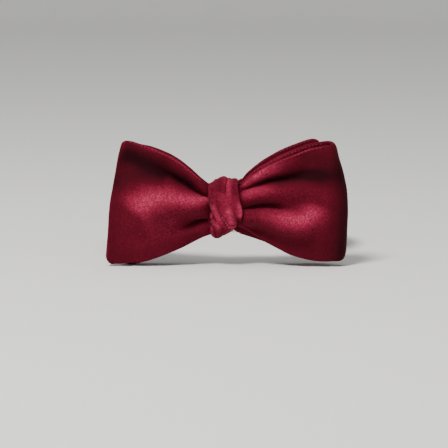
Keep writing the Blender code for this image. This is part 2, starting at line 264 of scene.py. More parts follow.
def mesh_object(
    name: str, points: Grid, faces: list, uv: Grid | None = None, painted_light: Grid | None = None
) -> bpy.types.Object:
    """Make a smooth-shaded object from points and faces.

    Args:
        name: The piece's name.
        points: Vertex places, in metres.
        faces: Vertex indices of each face.
        uv: A pattern place for each vertex, or None.
        painted_light: The level of painted light and shade at each vertex, or None.

    Returns:
        The new object, at the origin.
    """
    mesh = bpy.data.meshes.new(name)
    mesh.from_pydata(points.reshape(-1, 3).tolist(), [], faces)
    mesh.shade_smooth()
    if uv is not None:
        layer = mesh.uv_layers.new(name="cloth")
        corner = np.zeros(len(mesh.loops), dtype=int)
        mesh.loops.foreach_get("vertex_index", corner)
        layer.data.foreach_set("uv", uv.reshape(-1, 2)[corner].ravel())
    # This attribute holds painted light and shade for the velvet's colour ramp.
    if painted_light is not None:
        painted_level = mesh.attributes.new("painted_light", "FLOAT", "POINT")
        painted_level.data.foreach_set("value", painted_light.astype(np.float32).ravel())
    made = bpy.data.objects.new(name, mesh)
    bpy.context.scene.collection.objects.link(made)
    return made


@dataclass(kw_only=True)
class SewnStrip:
    """A strip of two cloth faces joined by seams all round, with its filling between them."""

    name: str
    thickness: float
    rows: int
    columns: int
    seam: Seam = Seam()
    slot: str = "velvet"

    def surface(self, t: Grid, v: Grid) -> Grid:
        """Place the middle of the strip's cloth in space.

        Args:
            t: Share of the way along the strip, from 0 to 1.
            v: Share of the way across it, from -1 to 1.

        Returns:
            Points, in metres.
        """
        raise NotImplementedError

    def painted_light(self, t: Grid, v: Grid) -> Grid:
        """Give the level of painted light and shade.

        Args:
            t: Share of the way along the strip, from 0 to 1.
            v: Share of the way across it, from -1 to 1.

        Returns:
            A share for each place, from painted shade at 0 to painted highlight at 1; this plain strip
            paints neither.
        """
        return np.full(t.shape, NEUTRAL_LIGHT_LEVEL)

    def normals(self, t: Grid, v: Grid) -> Grid:
        """Give the surface's directions.

        Args:
            t: Share of the way along the strip, from 0 to 1.
            v: Share of the way across it, from -1 to 1.

        Returns:
            A unit vector for each place.
        """
        t0, t1 = np.clip(t - SURFACE_STEP, 0, 1), np.clip(t + SURFACE_STEP, 0, 1)
        v0, v1 = np.clip(v - SURFACE_STEP, -1, 1), np.clip(v + SURFACE_STEP, -1, 1)
        along = self.surface(t1, v) - self.surface(t0, v)
        across = self.surface(t, v1) - self.surface(t, v0)
        normal = np.cross(along, across)
        return normal / np.maximum(np.linalg.norm(normal, axis=-1, keepdims=True), 1e-15)

    def front_normals(self, t: Grid, v: Grid) -> Grid:
        """Give the surface's directions, turned towards the viewer.

        Args:
            t: Share of the way along the strip, from 0 to 1.
            v: Share of the way across it, from -1 to 1.

        Returns:
            A unit vector for each place.
        """
        normal = self.normals(t, v)
        return np.where(normal[..., 1:2] > 0, -normal, normal)

    def width_at(self, t: Grid) -> Grid:
        """Measure the strip's width.

        Args:
            t: Shares of the way along the strip.

        Returns:
            The width at each, in metres.
        """
        low, high = self.surface(t, np.full_like(t, -1.0)), self.surface(t, np.full_like(t, 1.0))
        return np.linalg.norm(high - low, axis=1)

    def parameters(self) -> tuple[Grid, Grid, Grid, Grid]:
        """Lay out the strip's grid, with extra rows in the seams.

        Returns:
            The shares along and across, the fullness and the pattern place of each point.
        """
        line = np.linspace(0, 1, 600)
        run = run_along(self.surface(line, np.zeros_like(line)))
        places, full_t = edge_steps(self.seam, run[-1], self.rows)
        t = np.interp(places, run, line)
        width = np.interp(t, line, self.width_at(line))
        v_rows, full_rows, across_rows = [], [], []
        for wide, full in zip(width, full_t):
            across, full_v = edge_steps(self.seam, wide, self.columns)
            v_rows.append(2 * across / wide - 1)
            full_rows.append(full_v * full)
            across_rows.append(across - wide / 2)
        count = len(v_rows[0])
        uv = np.stack([np.repeat(places[:, None], count, 1), np.array(across_rows)], -1)
        t_rows = np.repeat(t[:, None], count, 1)
        return t_rows, np.array(v_rows), np.array(full_rows), uv * PATTERN_PER_METRE

    def build(self, finish: bpy.types.Material) -> bpy.types.Object:
        """Build the closed strip and dress it.

        Args:
            finish: Its material.

        Returns:
            The finished piece.
        """
        t, v, full, uv = self.parameters()
        middle = self.surface(t, v)
        offset = self.normals(t, v) * (self.thickness / 2) * full[..., None]
        count_t, count_v = t.shape
        index = np.arange(count_t * count_v).reshape(count_t, count_v)
        inner = np.zeros_like(index, dtype=bool)
        inner[1:-1, 1:-1] = True
        back = index.copy()
        back[inner] = count_t * count_v + np.arange(inner.sum())
        points = np.vstack([(middle + offset).reshape(-1, 3), (middle - offset)[inner]])
        patterns = np.vstack([uv.reshape(-1, 2), uv[inner]])
        faces = quads(index, False) + quads(back, True)
        # The level of painted light and shade, for both faces.
        painted_level = self.painted_light(t, v)
        painted_level = np.concatenate([painted_level.ravel(), painted_level[inner]])
        return dress(mesh_object(self.name, points, faces, patterns, painted_level), finish)


def quads(index: Grid, flip: bool) -> list[tuple[int, ...]]:
    """List the faces of a grid of vertex numbers.

    Args:
        index: The vertex numbers, in rows.
        flip: Whether the faces look the other way.

    Returns:
        One tuple of four vertex numbers for each face.
    """
    a, b, c, d = index[:-1, :-1], index[1:, :-1], index[1:, 1:], index[:-1, 1:]
    order = (a, d, c, b) if flip else (a, b, c, d)
    return np.stack(order, -1).reshape(-1, 4).tolist()


@dataclass(frozen=True)
class Stitch:
    """A sewn stitch: the distance to the next one, its own length and its thread, in millimetres."""

    pitch: float
    length: float
    radius: float
    sides: int = 6
    rings: tuple[tuple[float, float, float], ...] = (
        (-0.5, 0.35, -0.9), (-0.36, 0.95, 0.0), (0.0, 1.1, 0.35), (0.36, 0.95, 0.0), (0.5, 0.35, -0.9),
    )

    def loop(self, centre: Grid, along: Grid, up: Grid) -> list[Grid]:
        """Place the points of one stitch, ring by ring.

        Args:
            centre: The stitch's middle.
            along: The way the thread runs.
            up: The way out of the cloth.

        Returns:
            The points, in metres.
        """
        along = along / max(np.linalg.norm(along), 1e-9)
        side = np.cross(along, up)
        side = side / max(np.linalg.norm(side), 1e-9)
        up = np.cross(side, along)
        length, radius = self.length * MM, self.radius * MM
        points = []
        for offset, size, lift in self.rings:
            middle = centre + along * offset * length + up * lift * radius
            for k in range(self.sides):
                angle = 2 * pi * k / self.sides
                points.append(middle + (side * cos(angle) + up * sin(angle)) * radius * size)
        return points

    def faces(self, base: int) -> list[tuple[int, ...]]:
        """List the faces of one stitch.

        Args:
            base: The number of its first point.

        Returns:
            The point numbers of each face.
        """
        sides = self.sides
        last = base + (len(self.rings) - 1) * sides
        made = []
        for ring in range(base, last, sides):
            for k in range(sides):
                a, b = ring + k, ring + (k + 1) % sides
                made.append((a, b, b + sides, a + sides))
        made.append(tuple(base + k for k in reversed(range(sides))))
        made.append(tuple(last + k for k in range(sides)))
        return made

    def sew(self, name: str, path: Grid, normals: Grid, finish: bpy.types.Material) -> bpy.types.Object:
        """Sew a row of stitches along a line on a surface.

        Args:
            name: The piece's name.
            path: Points of the line, in metres.
            normals: The surface's direction at each point.
            finish: The thread's material.

        Returns:
            One finished object that holds all the stitches of the row.
        """
        run = run_along(path)
        half = self.length * MM / 2
        points, faces = [], []
        for start in np.arange(self.pitch * MM / 2, run[-1], self.pitch * MM):
            centre, ahead, behind = (
                np.array([np.interp(place, run, column) for column in path.T])
                for place in (start, start + half, start - half)
            )
            up = np.array([np.interp(start, run, column) for column in normals.T])
            faces.extend(self.faces(len(points)))
            points.extend(self.loop(centre, ahead - behind, up))
        made = mesh_object(name, np.array(points), faces)
        recalculate(made)
        return dress(made, finish)


EDGE_STITCH = Stitch(2.0, 1.5, 0.22)
CLOSING_STITCH = Stitch(1.6, 0.9, 0.24)
TACK_STITCH = Stitch(0.62, 0.6, 0.22)


# ---------------------------------------------------------------- Blender operators


def select_only(piece: bpy.types.Object) -> None:
    """Make one object the selected and active one.

    Args:
        piece: The object.
    """
    bpy.ops.object.select_all(action="DESELECT")
    piece.select_set(True)
    bpy.context.view_layer.objects.active = piece


def recalculate(piece: bpy.types.Object) -> None:
    """Point a closed mesh's faces outwards.

    Args:
        piece: The object that has the mesh.
    """
    select_only(piece)
    bpy.ops.object.mode_set(mode="EDIT")
    bpy.ops.mesh.select_all(action="SELECT")
    bpy.ops.mesh.normals_make_consistent(inside=False)
    bpy.ops.object.mode_set(mode="OBJECT")


def apply_modifiers(piece: bpy.types.Object) -> None:
    """Apply every modifier of an object, in order.

    Args:
        piece: The object.
    """
    select_only(piece)
    for step in list(piece.modifiers):
        bpy.ops.object.modifier_apply(modifier=step.name)


def settle(piece: bpy.types.Object, place: Matrix) -> bpy.types.Object:
    """Move a piece's mesh to its place and leave its object at the origin.

    Args:
        piece: The piece, modelled about the world's origin.
        place: Where its own origin and axes go.

    Returns:
        The same piece.
    """
    select_only(piece)
    bpy.ops.object.transform_apply(location=True, rotation=True, scale=True)
    piece.data.transform(place)
    return piece


def round_edges(piece: bpy.types.Object, width: float) -> None:
    """Round a metal piece's edges and shade it smooth between them.

    Args:
        piece: The piece.
        width: How wide the rounding is, in metres.
    """
    edge = piece.modifiers.new("edges", "BEVEL")
    edge.width = width
    edge.segments = 3
    edge.limit_method = "ANGLE"
    edge.angle_limit = radians(35)
    apply_modifiers(piece)
    select_only(piece)
    bpy.ops.object.shade_smooth_by_angle(angle=radians(40))


def add_box(name: str, low: tuple, high: tuple) -> bpy.types.Object:
    """Add a cube primitive between two corners.

    Args:
        name: The box's name.
        low: Its lowest corner, in millimetres.
        high: Its highest corner, in millimetres.

    Returns:
        The new box.
    """
    low, high = ([value * MM for value in corner] for corner in (low, high))
    centre = [(a + b) / 2 for a, b in zip(low, high)]
    size = [b - a for a, b in zip(low, high)]
    bpy.ops.object.select_all(action="DESELECT")
    bpy.ops.mesh.primitive_cube_add(size=1, location=centre)
    made = bpy.context.active_object
    made.name = name
    made.scale = size
    bpy.ops.object.transform_apply(location=True, rotation=True, scale=True)
    return made


def carve(piece: bpy.types.Object, tool: bpy.types.Object, operation: str) -> None:
    """Cut a tool from a piece, or join it on, and remove the tool.

    Args:
        piece: The piece.
        tool: The shape that is cut out of it or joined on.
        operation: DIFFERENCE to cut, or UNION to join.
    """
    step = piece.modifiers.new("carve", "BOOLEAN")
    step.operation = operation
    step.solver = "EXACT"
    step.object = tool
    apply_modifiers(piece)
    bpy.data.objects.remove(tool, do_unlink=True)


# ---------------------------------------------------------------- finishes


Socket = bpy.types.NodeSocket


class Nodes:
    """A small helper that adds and links shader nodes."""

    def __init__(self, name: str) -> None:
        """Start a node material with its shader.

        Args:
            name: The material's name.
        """
        self.material = bpy.data.materials.new(name)
        self.material.use_nodes = True
        self.tree = self.material.node_tree
        self.shader = self.tree.nodes["Principled BSDF"]

    def add(self, kind: str, **settings: object) -> bpy.types.Node:
        """Add a node.

        Args:
            kind: The node's type.
            settings: Its own properties and the constants of its inputs.

        Returns:
            The new node.
        """
        node = self.tree.nodes.new(kind)
        for key, value in settings.items():
            if key in node.inputs:
                node.inputs[key].default_value = value
            else:
                setattr(node, key, value)
        return node

    def link(self, source: Socket, target: Socket) -> None:
        """Link an output to an input."""
        self.tree.links.new(source, target)

    def feed(self, name: str, source: Socket) -> None:
        """Link an output to one of the shader's inputs."""
        self.link(source, self.shader.inputs[name])

    def fix(self, constants: dict[str, object]) -> None:
        """Set constants directly on the shader's sockets."""
        for name, value in constants.items():
            self.shader.inputs[name].default_value = value

    def ramp(self, source: Socket, stops: list[tuple[float, Colour]]) -> Socket:
        """Turn a value into a colour through a few stops.

        Args:
            source: The value.
            stops: The value and the colour of each stop.

        Returns:
            The colour's socket.
        """
        node = self.add("ShaderNodeValToRGB")
        elements = node.color_ramp.elements
        while len(elements) < len(stops):
            elements.new(0.5)
        for element, (place, colour) in zip(elements, stops):
            element.position = place
            element.color = (*colour, 1)
        self.link(source, node.inputs["Fac"])
        return node.outputs["Color"]

    def noise(self, coordinate: Socket, scale: float, detail: float = 2.0) -> Socket:
        """Add a noise pattern.

        Args:
            coordinate: What it lies on.
            scale: How fine it is.
            detail: How many finer patterns it adds.

        Returns:
            The pattern's socket, about 0.5 in the middle.
        """
        node = self.add("ShaderNodeTexNoise", Scale=scale, Detail=detail)
        self.link(coordinate, node.inputs["Vector"])
        return node.outputs["Fac"]

    def wave(self, coordinate: Socket, direction: str, **settings: object) -> Socket:
        """Add a wave pattern.

        Args:
            coordinate: What it lies on.
            direction: The axis that its bands follow one another on.
            settings: The constants of its inputs.

        Returns:
            The pattern's socket.
        """
        node = self.add("ShaderNodeTexWave", bands_direction=direction, **settings)
        self.link(coordinate, node.inputs["Vector"])
        return node.outputs["Fac"]

    def math(self, operation: str, a: object, b: object) -> Socket:
        """Combine two values or sockets.

        Args:
            operation: What is done with them.
            a: The first one.
            b: The second one.

        Returns:
            The result's socket.
        """
        node = self.add("ShaderNodeMath", operation=operation)
        for socket, value in zip(node.inputs, (a, b)):
            if isinstance(value, (int, float)):
                socket.default_value = value
            else:
                self.link(value, socket)
        return node.outputs["Value"]

    def weigh(self, a: Socket, share_a: float, b: object, share_b: float = 1.0) -> Socket:
        """Add two values by their shares.

        Args:
            a: The first value.
            share_a: Its share.
            b: The second value.
            share_b: Its share.

        Returns:
            The sum's socket.
        """
        first = self.math("MULTIPLY", a, share_a)
        return self.math("ADD", first, b if share_b == 1.0 else self.math("MULTIPLY", b, share_b))

    def bump(self, height: Socket, strength: float, distance: float) -> None:
        """Roughen the surface, over any roughening before it.

        Args:
            height: The pattern that raises it.
            strength: How strongly it shows.
            distance: How high it is, in metres.
        """
        node = self.add("ShaderNodeBump", Strength=strength, Distance=distance)
        self.link(height, node.inputs["Height"])
        previous = self.shader.inputs["Normal"]
        if previous.is_linked:
            self.link(previous.links[0].from_socket, node.inputs["Normal"])
        self.link(node.outputs["Normal"], previous)


@dataclass(frozen=True, kw_only=True)
class Finish:
    """What every finish has: a name, and a way to make its material."""

    name: str
    coordinates: str = "Object"

    def shade(self, n: Nodes, place: Socket) -> None:
        """Set up the shader.

        Args:
            n: The material's nodes.
            place: The coordinates that the patterns lie on.
        """
        raise NotImplementedError

    def material(self) -> bpy.types.Material:
        """Make the material.

        Returns:
            The new material.
        """
        n = Nodes(self.name)
        self.shade(n, n.add("ShaderNodeTexCoord").outputs[self.coordinates])
        return n.material


@dataclass(frozen=True, kw_only=True)
class VelvetFinish(Finish):
    """Short-pile burgundy velvet, with painted shade in the folds and painted rosy highlights where the
    cloth faces the light.
    """

    name: str = "velvet"
    # closed is the painted shade of the folds, even the cloth's own colour, and open and brushed are
    # painted highlights of rising strength.
    closed: Colour = (0.012, 0.0004, 0.0018)
    even: Colour = (0.095, 0.0030, 0.0120)
    open: Colour = (0.262, 0.0150, 0.0450)
    brushed: Colour = (0.520, 0.0560, 0.1250)
    pile_tint: Colour = (1.0, 0.26, 0.40)
    pile_scale: float = 2300.0
    mottle_scale: float = 966.0
    patch_scale: float = 45.0
    grain: float = 1.84
    cloud: float = 0.276

    def shade(self, n: Nodes, place: Socket) -> None:
        """Colour the velvet with painted light and shade, mottle it by its grain, and roughen it hair by
        hair.

        Args:
            n: The material's nodes.
            place: The coordinates that the patterns lie on.
        """
        # The attribute carries painted light and shade; grain and patches vary it at random, and the ramp
        # paints it from painted shade to painted highlight.
        painted_level = n.add("ShaderNodeAttribute", attribute_name="painted_light").outputs["Fac"]
        pile = n.noise(place, self.pile_scale)
        mottle = n.noise(place, self.mottle_scale)
        patch = n.noise(place, self.patch_scale)
        mixed = n.weigh(pile, 0.55, mottle, 0.45)
        spread = n.math("MULTIPLY", n.math("SUBTRACT", mixed, 0.5), self.grain)
        cloud = n.math("MULTIPLY", n.math("SUBTRACT", patch, 0.5), self.cloud)
        level = n.math("MULTIPLY", painted_level, n.math("ADD", 1.0, n.math("ADD", spread, cloud)))
        stops = [(0.0, self.closed), (NEUTRAL_LIGHT_LEVEL, self.even), (0.68, self.open), (1.0, self.brushed)]
        n.feed("Base Color", n.ramp(level, stops))
        n.feed("Roughness", n.weigh(patch, 0.10, 0.78))
        n.fix({"Specular IOR Level": 0.08, "Sheen Weight": 0.16, "Sheen Roughness": 0.36})
        n.fix({"Sheen Tint": (*self.pile_tint, 1)})
        n.bump(mottle, 0.30, 0.00020)
        n.bump(pile, 0.45, 0.00014)


@dataclass(frozen=True, kw_only=True)
class RibbonFinish(Finish):
    """Dark wine grosgrain ribbon with a soft lustre on its ribs."""

    name: str = "ribbon"
    coordinates: str = "UV"
    dark: Colour = (0.030, 0.0015, 0.0045)
    light: Colour = (0.115, 0.0065, 0.017)
    sheen: Colour = (0.9, 0.3, 0.36)
    threads: float = 260.0

    def shade(self, n: Nodes, place: Socket) -> None:
        """Weave ribs along the ribbon and yarns across it.

        Args:
            n: The material's nodes.
            place: The coordinates that the patterns lie on.
        """
        ribs = n.wave(place, "X", Scale=4.5, Distortion=0.4, **{"Detail Scale": 2.0})
        yarn = n.wave(place, "Y", Scale=11.0, Distortion=1.2)
        fuzz = n.noise(place, self.threads, 3.0)
        height = n.weigh(ribs, 0.6, yarn, 0.4)
        shade = n.weigh(height, 0.8, fuzz, 0.2)
        n.feed("Base Color", n.ramp(shade, [(0.2, self.dark), (0.8, self.light)]))
        n.feed("Roughness", n.weigh(height, -0.2, 0.72))
        n.fix({"Specular IOR Level": 0.22, "Sheen Weight": 0.10, "Sheen Roughness": 0.4})
        n.fix({"Sheen Tint": (*self.sheen, 1)})
        n.bump(height, 0.5, 0.00015)
        n.bump(fuzz, 0.3, 0.00005)


@dataclass(frozen=True, kw_only=True)
class ThreadFinish(Finish):
    """Twisted sewing thread, a little brighter than the cloth."""

    name: str = "thread"
    low: Colour = (0.14, 0.006, 0.020)
    high: Colour = (0.30, 0.022, 0.054)
    sheen: Colour = (1.0, 0.3, 0.42)

    def shade(self, n: Nodes, place: Socket) -> None:
        """Streak the thread with its fibres.

        Args:
            n: The material's nodes.
            place: The coordinates that the patterns lie on.
        """
        fibre = n.noise(place, 2600.0)
        n.feed("Base Color", n.ramp(fibre, [(0.35, self.low), (0.65, self.high)]))
        n.feed("Roughness", n.weigh(fibre, 0.2, 0.45))
        n.fix({"Specular IOR Level": 0.12, "Sheen Weight": 0.12, "Sheen Tint": (*self.sheen, 1)})
        n.bump(fibre, 0.4, 0.00008)


@dataclass(frozen=True, kw_only=True)
class NickelFinish(Finish):
    """Nickel plate on pressed steel, with faint polishing marks and handling wear."""

    name: str = "metal"
    clean: Colour = (0.66, 0.64, 0.60)
    worn: Colour = (0.50, 0.48, 0.45)
    brush_scale: Colour = (300.0, 300.0, 5200.0)

    def shade(self, n: Nodes, place: Socket) -> None:
        """Polish the plate along its length and dull it where it is handled.

        Args:
            n: The material's nodes.
            place: The coordinates that the patterns lie on.
        """
        stretch = n.add("ShaderNodeMapping", Scale=self.brush_scale)
        n.link(place, stretch.inputs["Vector"])
        brushed = n.noise(stretch.outputs["Vector"], 1.0)
        cloud = n.noise(place, 420.0, 4.0)
        n.feed("Base Color", n.ramp(cloud, [(0.35, self.worn), (0.6, self.clean)]))
        n.feed("Roughness", n.math("ADD", n.weigh(brushed, 0.16, cloud, 0.22), 0.04))
        n.fix({"Metallic": 1.0})
        n.bump(brushed, 0.08, 0.00003)


@dataclass(frozen=True, kw_only=True)
class BackdropFinish(Finish):
    """Matt pale paper with a barely visible tooth."""

    name: str = "backdrop"
    low: Colour = (0.80, 0.80, 0.79)
    high: Colour = (0.86, 0.86, 0.85)

    def shade(self, n: Nodes, place: Socket) -> None:
        """Give the paper its tooth.

        Args:
            n: The material's nodes.
            place: The coordinates that the patterns lie on.
        """
        tooth = n.noise(place, 900.0)
        n.feed("Base Color", n.ramp(tooth, [(0.3, self.low), (0.7, self.high)]))
        n.fix({"Roughness": 0.95, "Specular IOR Level": 0.1})


class Wardrobe:
    """The finishes, made once and shared by the pieces."""

    def __init__(self) -> None:
        """Make all the finishes."""
        self.velvet = VelvetFinish().material()
        self.ribbon = RibbonFinish().material()
        self.thread = ThreadFinish().material()
        # The closing stitches get a lighter copy of the thread, a painted highlight, so that they show as
        # bright pink dots on the knot.
        closing = ThreadFinish(name="highlit_closing_thread", low=(0.34, 0.045, 0.08), high=(0.52, 0.09, 0.15))
        self.highlit_closing_thread = closing.material()
        self.metal = NickelFinish().material()


def dress(piece: bpy.types.Object, finish: bpy.types.Material) -> bpy.types.Object:
    """Give a piece its material.

    Args:
        piece: The piece.
        finish: Its material.

    Returns:
        The same piece.
    """
    piece.data.materials.clear()
    piece.data.materials.append(finish)
    return piece


# ---------------------------------------------------------------- the bow


# A wing's route is laid out to a nominal reach from the knot's side, and its outlines then
# stretch it to their own rims, which is REAL_SPAN on the whole. All are in millimetres.
KNOT_SIDE = 9.0
NOMINAL_REACH = 58.0
WING_SPAN = NOMINAL_REACH - KNOT_SIDE
REAL_SPAN = 54.0
ROUTE_STEPS = {"inside": 16, "wing": 60, "turn": 28}


@dataclass(frozen=True)
class PlyOutline:
    """One ply of a wing as the viewer sees it: two edges that end at its outer rim."""

    top: Edge
    bottom: Edge
    rim: Edge

    def place(self, reach: Grid, v: Grid) -> tuple[Grid, Grid]:
        """Place points of the ply in the viewer's plane.

        Args:
            reach: Share of the way from the knot to the rim; below 0 is inside the knot.
            v: Share of the way up, from -1 at the bottom edge to 1 at the top edge.

        Returns:
            The distance from the middle and the height of each point.
        """
        up = (v + 1) / 2
        rim_low, rim_high = self.bottom.points[-1][1], self.top.points[-1][1]
        rim_x = self.rim.at((rim_low + (rim_high - rim_low) * up) * MM)
        out = np.clip(reach, 0, 1)
        side = KNOT_SIDE * MM
        top_x = side + (self.rim.at(rim_high * MM) - side) * out
        low_x = side + (self.rim.at(rim_low * MM) - side) * out
        top, bottom = self.top.at(top_x), self.bottom.at(low_x)
        inside = np.minimum(reach, 0) * (NOMINAL_REACH * MM - side)
        x = side + (rim_x - side) * out + inside
        return x, bottom + (top - bottom) * up


LEFT_FRONT = PlyOutline(
    top=Edge([
        (9, 12.4), (13.3, 15.0), (19.5, 20.5), (27.5, 26.6), (37.4, 31.4), (46.6, 34.5), (50, 35.4),
        (52.6, 35.7),
    ]),
    bottom=Edge([
        (9, -14.2), (12, -15.8), (16.6, -18.1), (24.2, -21.8), (33.7, -25.7), (43.1, -28.7), (51, -29.4),
        (60.6, -30.2),
    ]),
    rim=Edge([
        (-30.2, 60.6), (-29.2, 62.0), (-27.6, 63.0), (-25, 63.4), (-13.6, 62.4), (-4, 61.8), (3, 61.1),
        (13.4, 59.2), (24.7, 57.2), (31.3, 55.7), (34.6, 54.5), (35.7, 52.6),
    ]),
)
LEFT_LOOP_RIM = Edge([
    (-30.5, 50), (-29.2, 53.5), (-25, 56), (-15, 58.3), (0, 58.8), (15, 57), (28, 53.5), (33.4, 49),
])
LEFT_LOOP_FRONT = PlyOutline(
    top=Edge([(9, 12.0), (13.3, 15.6), (19.5, 21.3), (27.5, 27.2), (37.4, 31.6), (44, 33.2), (49, 33.4)]),
    bottom=Edge([
        (9, -15.6), (12, -16.7), (17, -18.7), (24.2, -22.0), (33.7, -26.1), (41, -28.9), (47, -30.3),
        (50, -30.5),
    ]),
    rim=LEFT_LOOP_RIM,
)
LEFT_LOOP_REAR = PlyOutline(
    top=Edge([(9, 11.8), (13.3, 15.0), (19.5, 20.3), (27.5, 26.2), (37.4, 30.8), (44, 32.6), (49, 33.4)]),
    bottom=Edge([
        (9, -13.2), (17, -16.9), (24.2, -20.4), (33.7, -24.8), (41, -27.9), (47, -29.9), (50, -30.5),
    ]),
    rim=LEFT_LOOP_RIM,
)
RIGHT_RIM = Edge([
    (-27.8, 60.4), (-26.2, 62.1), (-23.1, 62.9), (-18.3, 63.2), (-11.2, 63.5), (-1.8, 63.8), (7.7, 63.4),
    (13.8, 62.4), (20.5, 60.8), (26.6, 58.9), (31, 57.9), (33.4, 57.0), (35.0, 55.0),
])
RIGHT_LOOP_FRONT = PlyOutline(
    top=Edge([
        (9, 12.0), (14, 16.9), (22.1, 21.7), (27.2, 24.5), (32.3, 26.8), (39, 29.7), (44.1, 31.5),
        (49.2, 32.7), (53, 33.3), (57, 33.4),
    ]),
    bottom=Edge([
        (9, -10.6), (13.9, -13.6), (18.7, -16.9), (22.5, -19.1), (28.1, -21.9), (35.2, -25.2),
        (44.7, -27.6), (53.2, -28.3), (60.4, -27.8),
    ]),
    rim=RIGHT_RIM,
)
RIGHT_LOOP_REAR = PlyOutline(
    top=Edge([
        (9, 13.0), (15.4, 19.6), (22.1, 23.6), (27.2, 26.4), (32.3, 28.7), (39, 31.5), (44.1, 33.3),
        (49.2, 34.3), (53, 34.9), (55, 35.0),
    ]),
    bottom=Edge([
        (9, -11.4), (13.9, -14.4), (18.7, -17.2), (22.5, -19.0), (28.1, -21.4), (35.2, -24.4),
        (44.7, -26.9), (53.2, -27.9), (60.4, -27.8),
    ]),
    rim=RIGHT_RIM,
)
RIGHT_END = PlyOutline(
    top=Edge([
        (9, 14.4), (11.6, 17.7), (16.3, 21.7), (21, 25), (26.7, 28.4), (32.9, 31.3), (37.6, 33.2),
        (42.3, 34.8), (45.6, 35.6), (47.6, 35.6),
    ]),
    bottom=Edge([
        (9, -15.6), (12, -16.6), (16.3, -18.0), (22.5, -20.2), (30, -22.8), (40, -26), (48, -28.6),
        (51, -29.3),
    ]),
    rim=Edge([
        (-29.3, 51), (-28.4, 53), (-26, 54.6), (-15, 56.3), (0, 56.5), (15, 55.4), (26, 53.2), (32, 51.0),
        (34.6, 49.3), (35.6, 47.6),
    ]),
)

# Each fold's line, then its rise and its narrow and wide widths, in millimetres.
LEFT_FOLDS = [
    Crease(
        [(-8.5, 4.9), (-12, 6.2), (-17.1, 9.4), (-22.8, 13.8), (-28.9, 17.8), (-36, 21.9), (-46, 26)],
        -4.6, 1.5, 6.6, fade=0.5,
    ),
    Crease(
        [(-9, 1.2), (-14, 1.0), (-20, 1.2), (-28, 1.8), (-36, 0.6), (-44, -3), (-52, -8)],
        4.8, 4.0, 11.0, fade=0.55,
    ),
    Crease(
        [(-9, -6.5), (-13.8, -6.6), (-17.5, -8.2), (-22.5, -10.2), (-30, -12.5)],
        -4.0, 1.3, 3.6, fade=0.35,
    ),
    Crease([(-9, -10.4), (-16, -13.2), (-26, -17.8), (-36, -22)], 1.4, 2.2, 4.5, fade=0.4),
    Crease([(-10, 9.4), (-17, 14.8), (-25, 20.8), (-36, 26.8), (-46, 30)], 1.8, 2.4, 4.8, fade=0.4),
    Crease([(-40, 26), (-50, 22), (-62, 16)], -2.0, 7, 9, start=0.3, fade=1),
    Crease([(-24, -13), (-40, -16), (-57, -22)], -1.6, 5, 8, start=0.4, fade=0.7),
]
RIGHT_FOLDS = [
    Crease(
        [(8.5, 9.0), (12, 10.6), (16.3, 12.2), (23.4, 14.6), (32.9, 16.6), (42.3, 18.6), (52, 19.0)],
        -4.4, 1.4, 6.4, fade=0.65,
    ),
    Crease([(9, 4.8), (15, 6.2), (22, 7.6), (30, 8.2), (38, 7.2), (47, 5)], 3.4, 2.8, 5.5, fade=0.5),
    Crease(
        [(9, -1.2), (12, -0.4), (16.3, 1.0), (22, 1.8), (28.1, 1.4), (34.3, -0.4), (39, -2.4)],
        -4.4, 1.2, 4.0, fade=0.5,
    ),
    Crease(
        [(9, -5.6), (17, -5.6), (25, -7.2), (33, -9.6), (41, -9.6), (47, -5), (51, 3)],
        4.4, 3.4, 7.6, fade=0.6,
    ),
    Crease(
        [(9, -9.2), (16, -11.6), (24, -15.6), (33, -19.6), (44, -21.4), (52, -20)],
        -1.8, 1.8, 7.0, fade=0.5,
    ),
    Crease([(9.5, 11.6), (16, 16.2), (25, 21.4), (36, 26), (48, 29)], 1.6, 1.8, 3.8, fade=0.4),
    Crease([(50, 22), (54, 10), (55, -6), (54, -20)], 1.2, 4, 5, start=0.2, fade=0.7),
]
# Strokes of painted light on the velvet: above 0 a painted highlight, below 0 painted shade, laid along
# the lit ridges, the shaded folds and the wings' lit and shaded rims.
LEFT_PAINTED_LIGHT = [
    Crease(
        [(-9, 4.5), (-19.7, 3.9), (-29.3, 5.5), (-38, 4.6), (-45, 1.5), (-50, -4)],
        0.38, 1.8, 8.4, fade=0.85,
    ),
    Crease(
        [(-14, 10.2), (-22, 14.4), (-30, 18.2), (-40, 22.8), (-50, 26.4), (-60, 29), (-70, 30)],
        -0.33, 2.2, 7.0, start=0.08, fade=0.6,
    ),
    Crease([(-24, 22), (-34, 26), (-44, 29), (-54, 31.5)], -0.09, 2.4, 4.0, start=0.3, fade=0.9),
    Crease([(-10, 6.2), (-17, 9.8), (-24, 14.4), (-32, 19.4)], -0.20, 1.4, 3.0, fade=0.6),
    Crease([(-9, -6.8), (-15, -7.4), (-22, -10.4)], -0.22, 1.2, 2.4, fade=0.5),
    Crease([(-57, 30), (-60, 5), (-61.5, -26)], -0.06, 5.0, 6.0, fade=1),
    Crease([(-30, 15.0), (-36, 16.2), (-45, 17.0), (-57, 14)], -0.18, 3.0, 6.0, start=0.15, fade=1),
    Crease([(-53.4, 35), (-57.4, 24), (-59.8, 12), (-62.0, -4), (-63.0, -27)], 0.13, 0.8, 0.8, fade=1),
    Crease([(-22, -6), (-34, -9), (-44, -12)], 0.09, 5.0, 7.0, start=0.3, fade=0.8),
    Crease([(-12, -13), (-24, -18), (-42, -24), (-56, -27)], -0.07, 3.0, 5.0, start=0.1, fade=1),
    Crease(
        [(-12, 13.4), (-19.5, 20.0), (-27.5, 26.0), (-37.4, 30.6), (-47, 33.2)],
        0.16, 0.8, 0.8, start=0.1, fade=0.9,
    ),
]
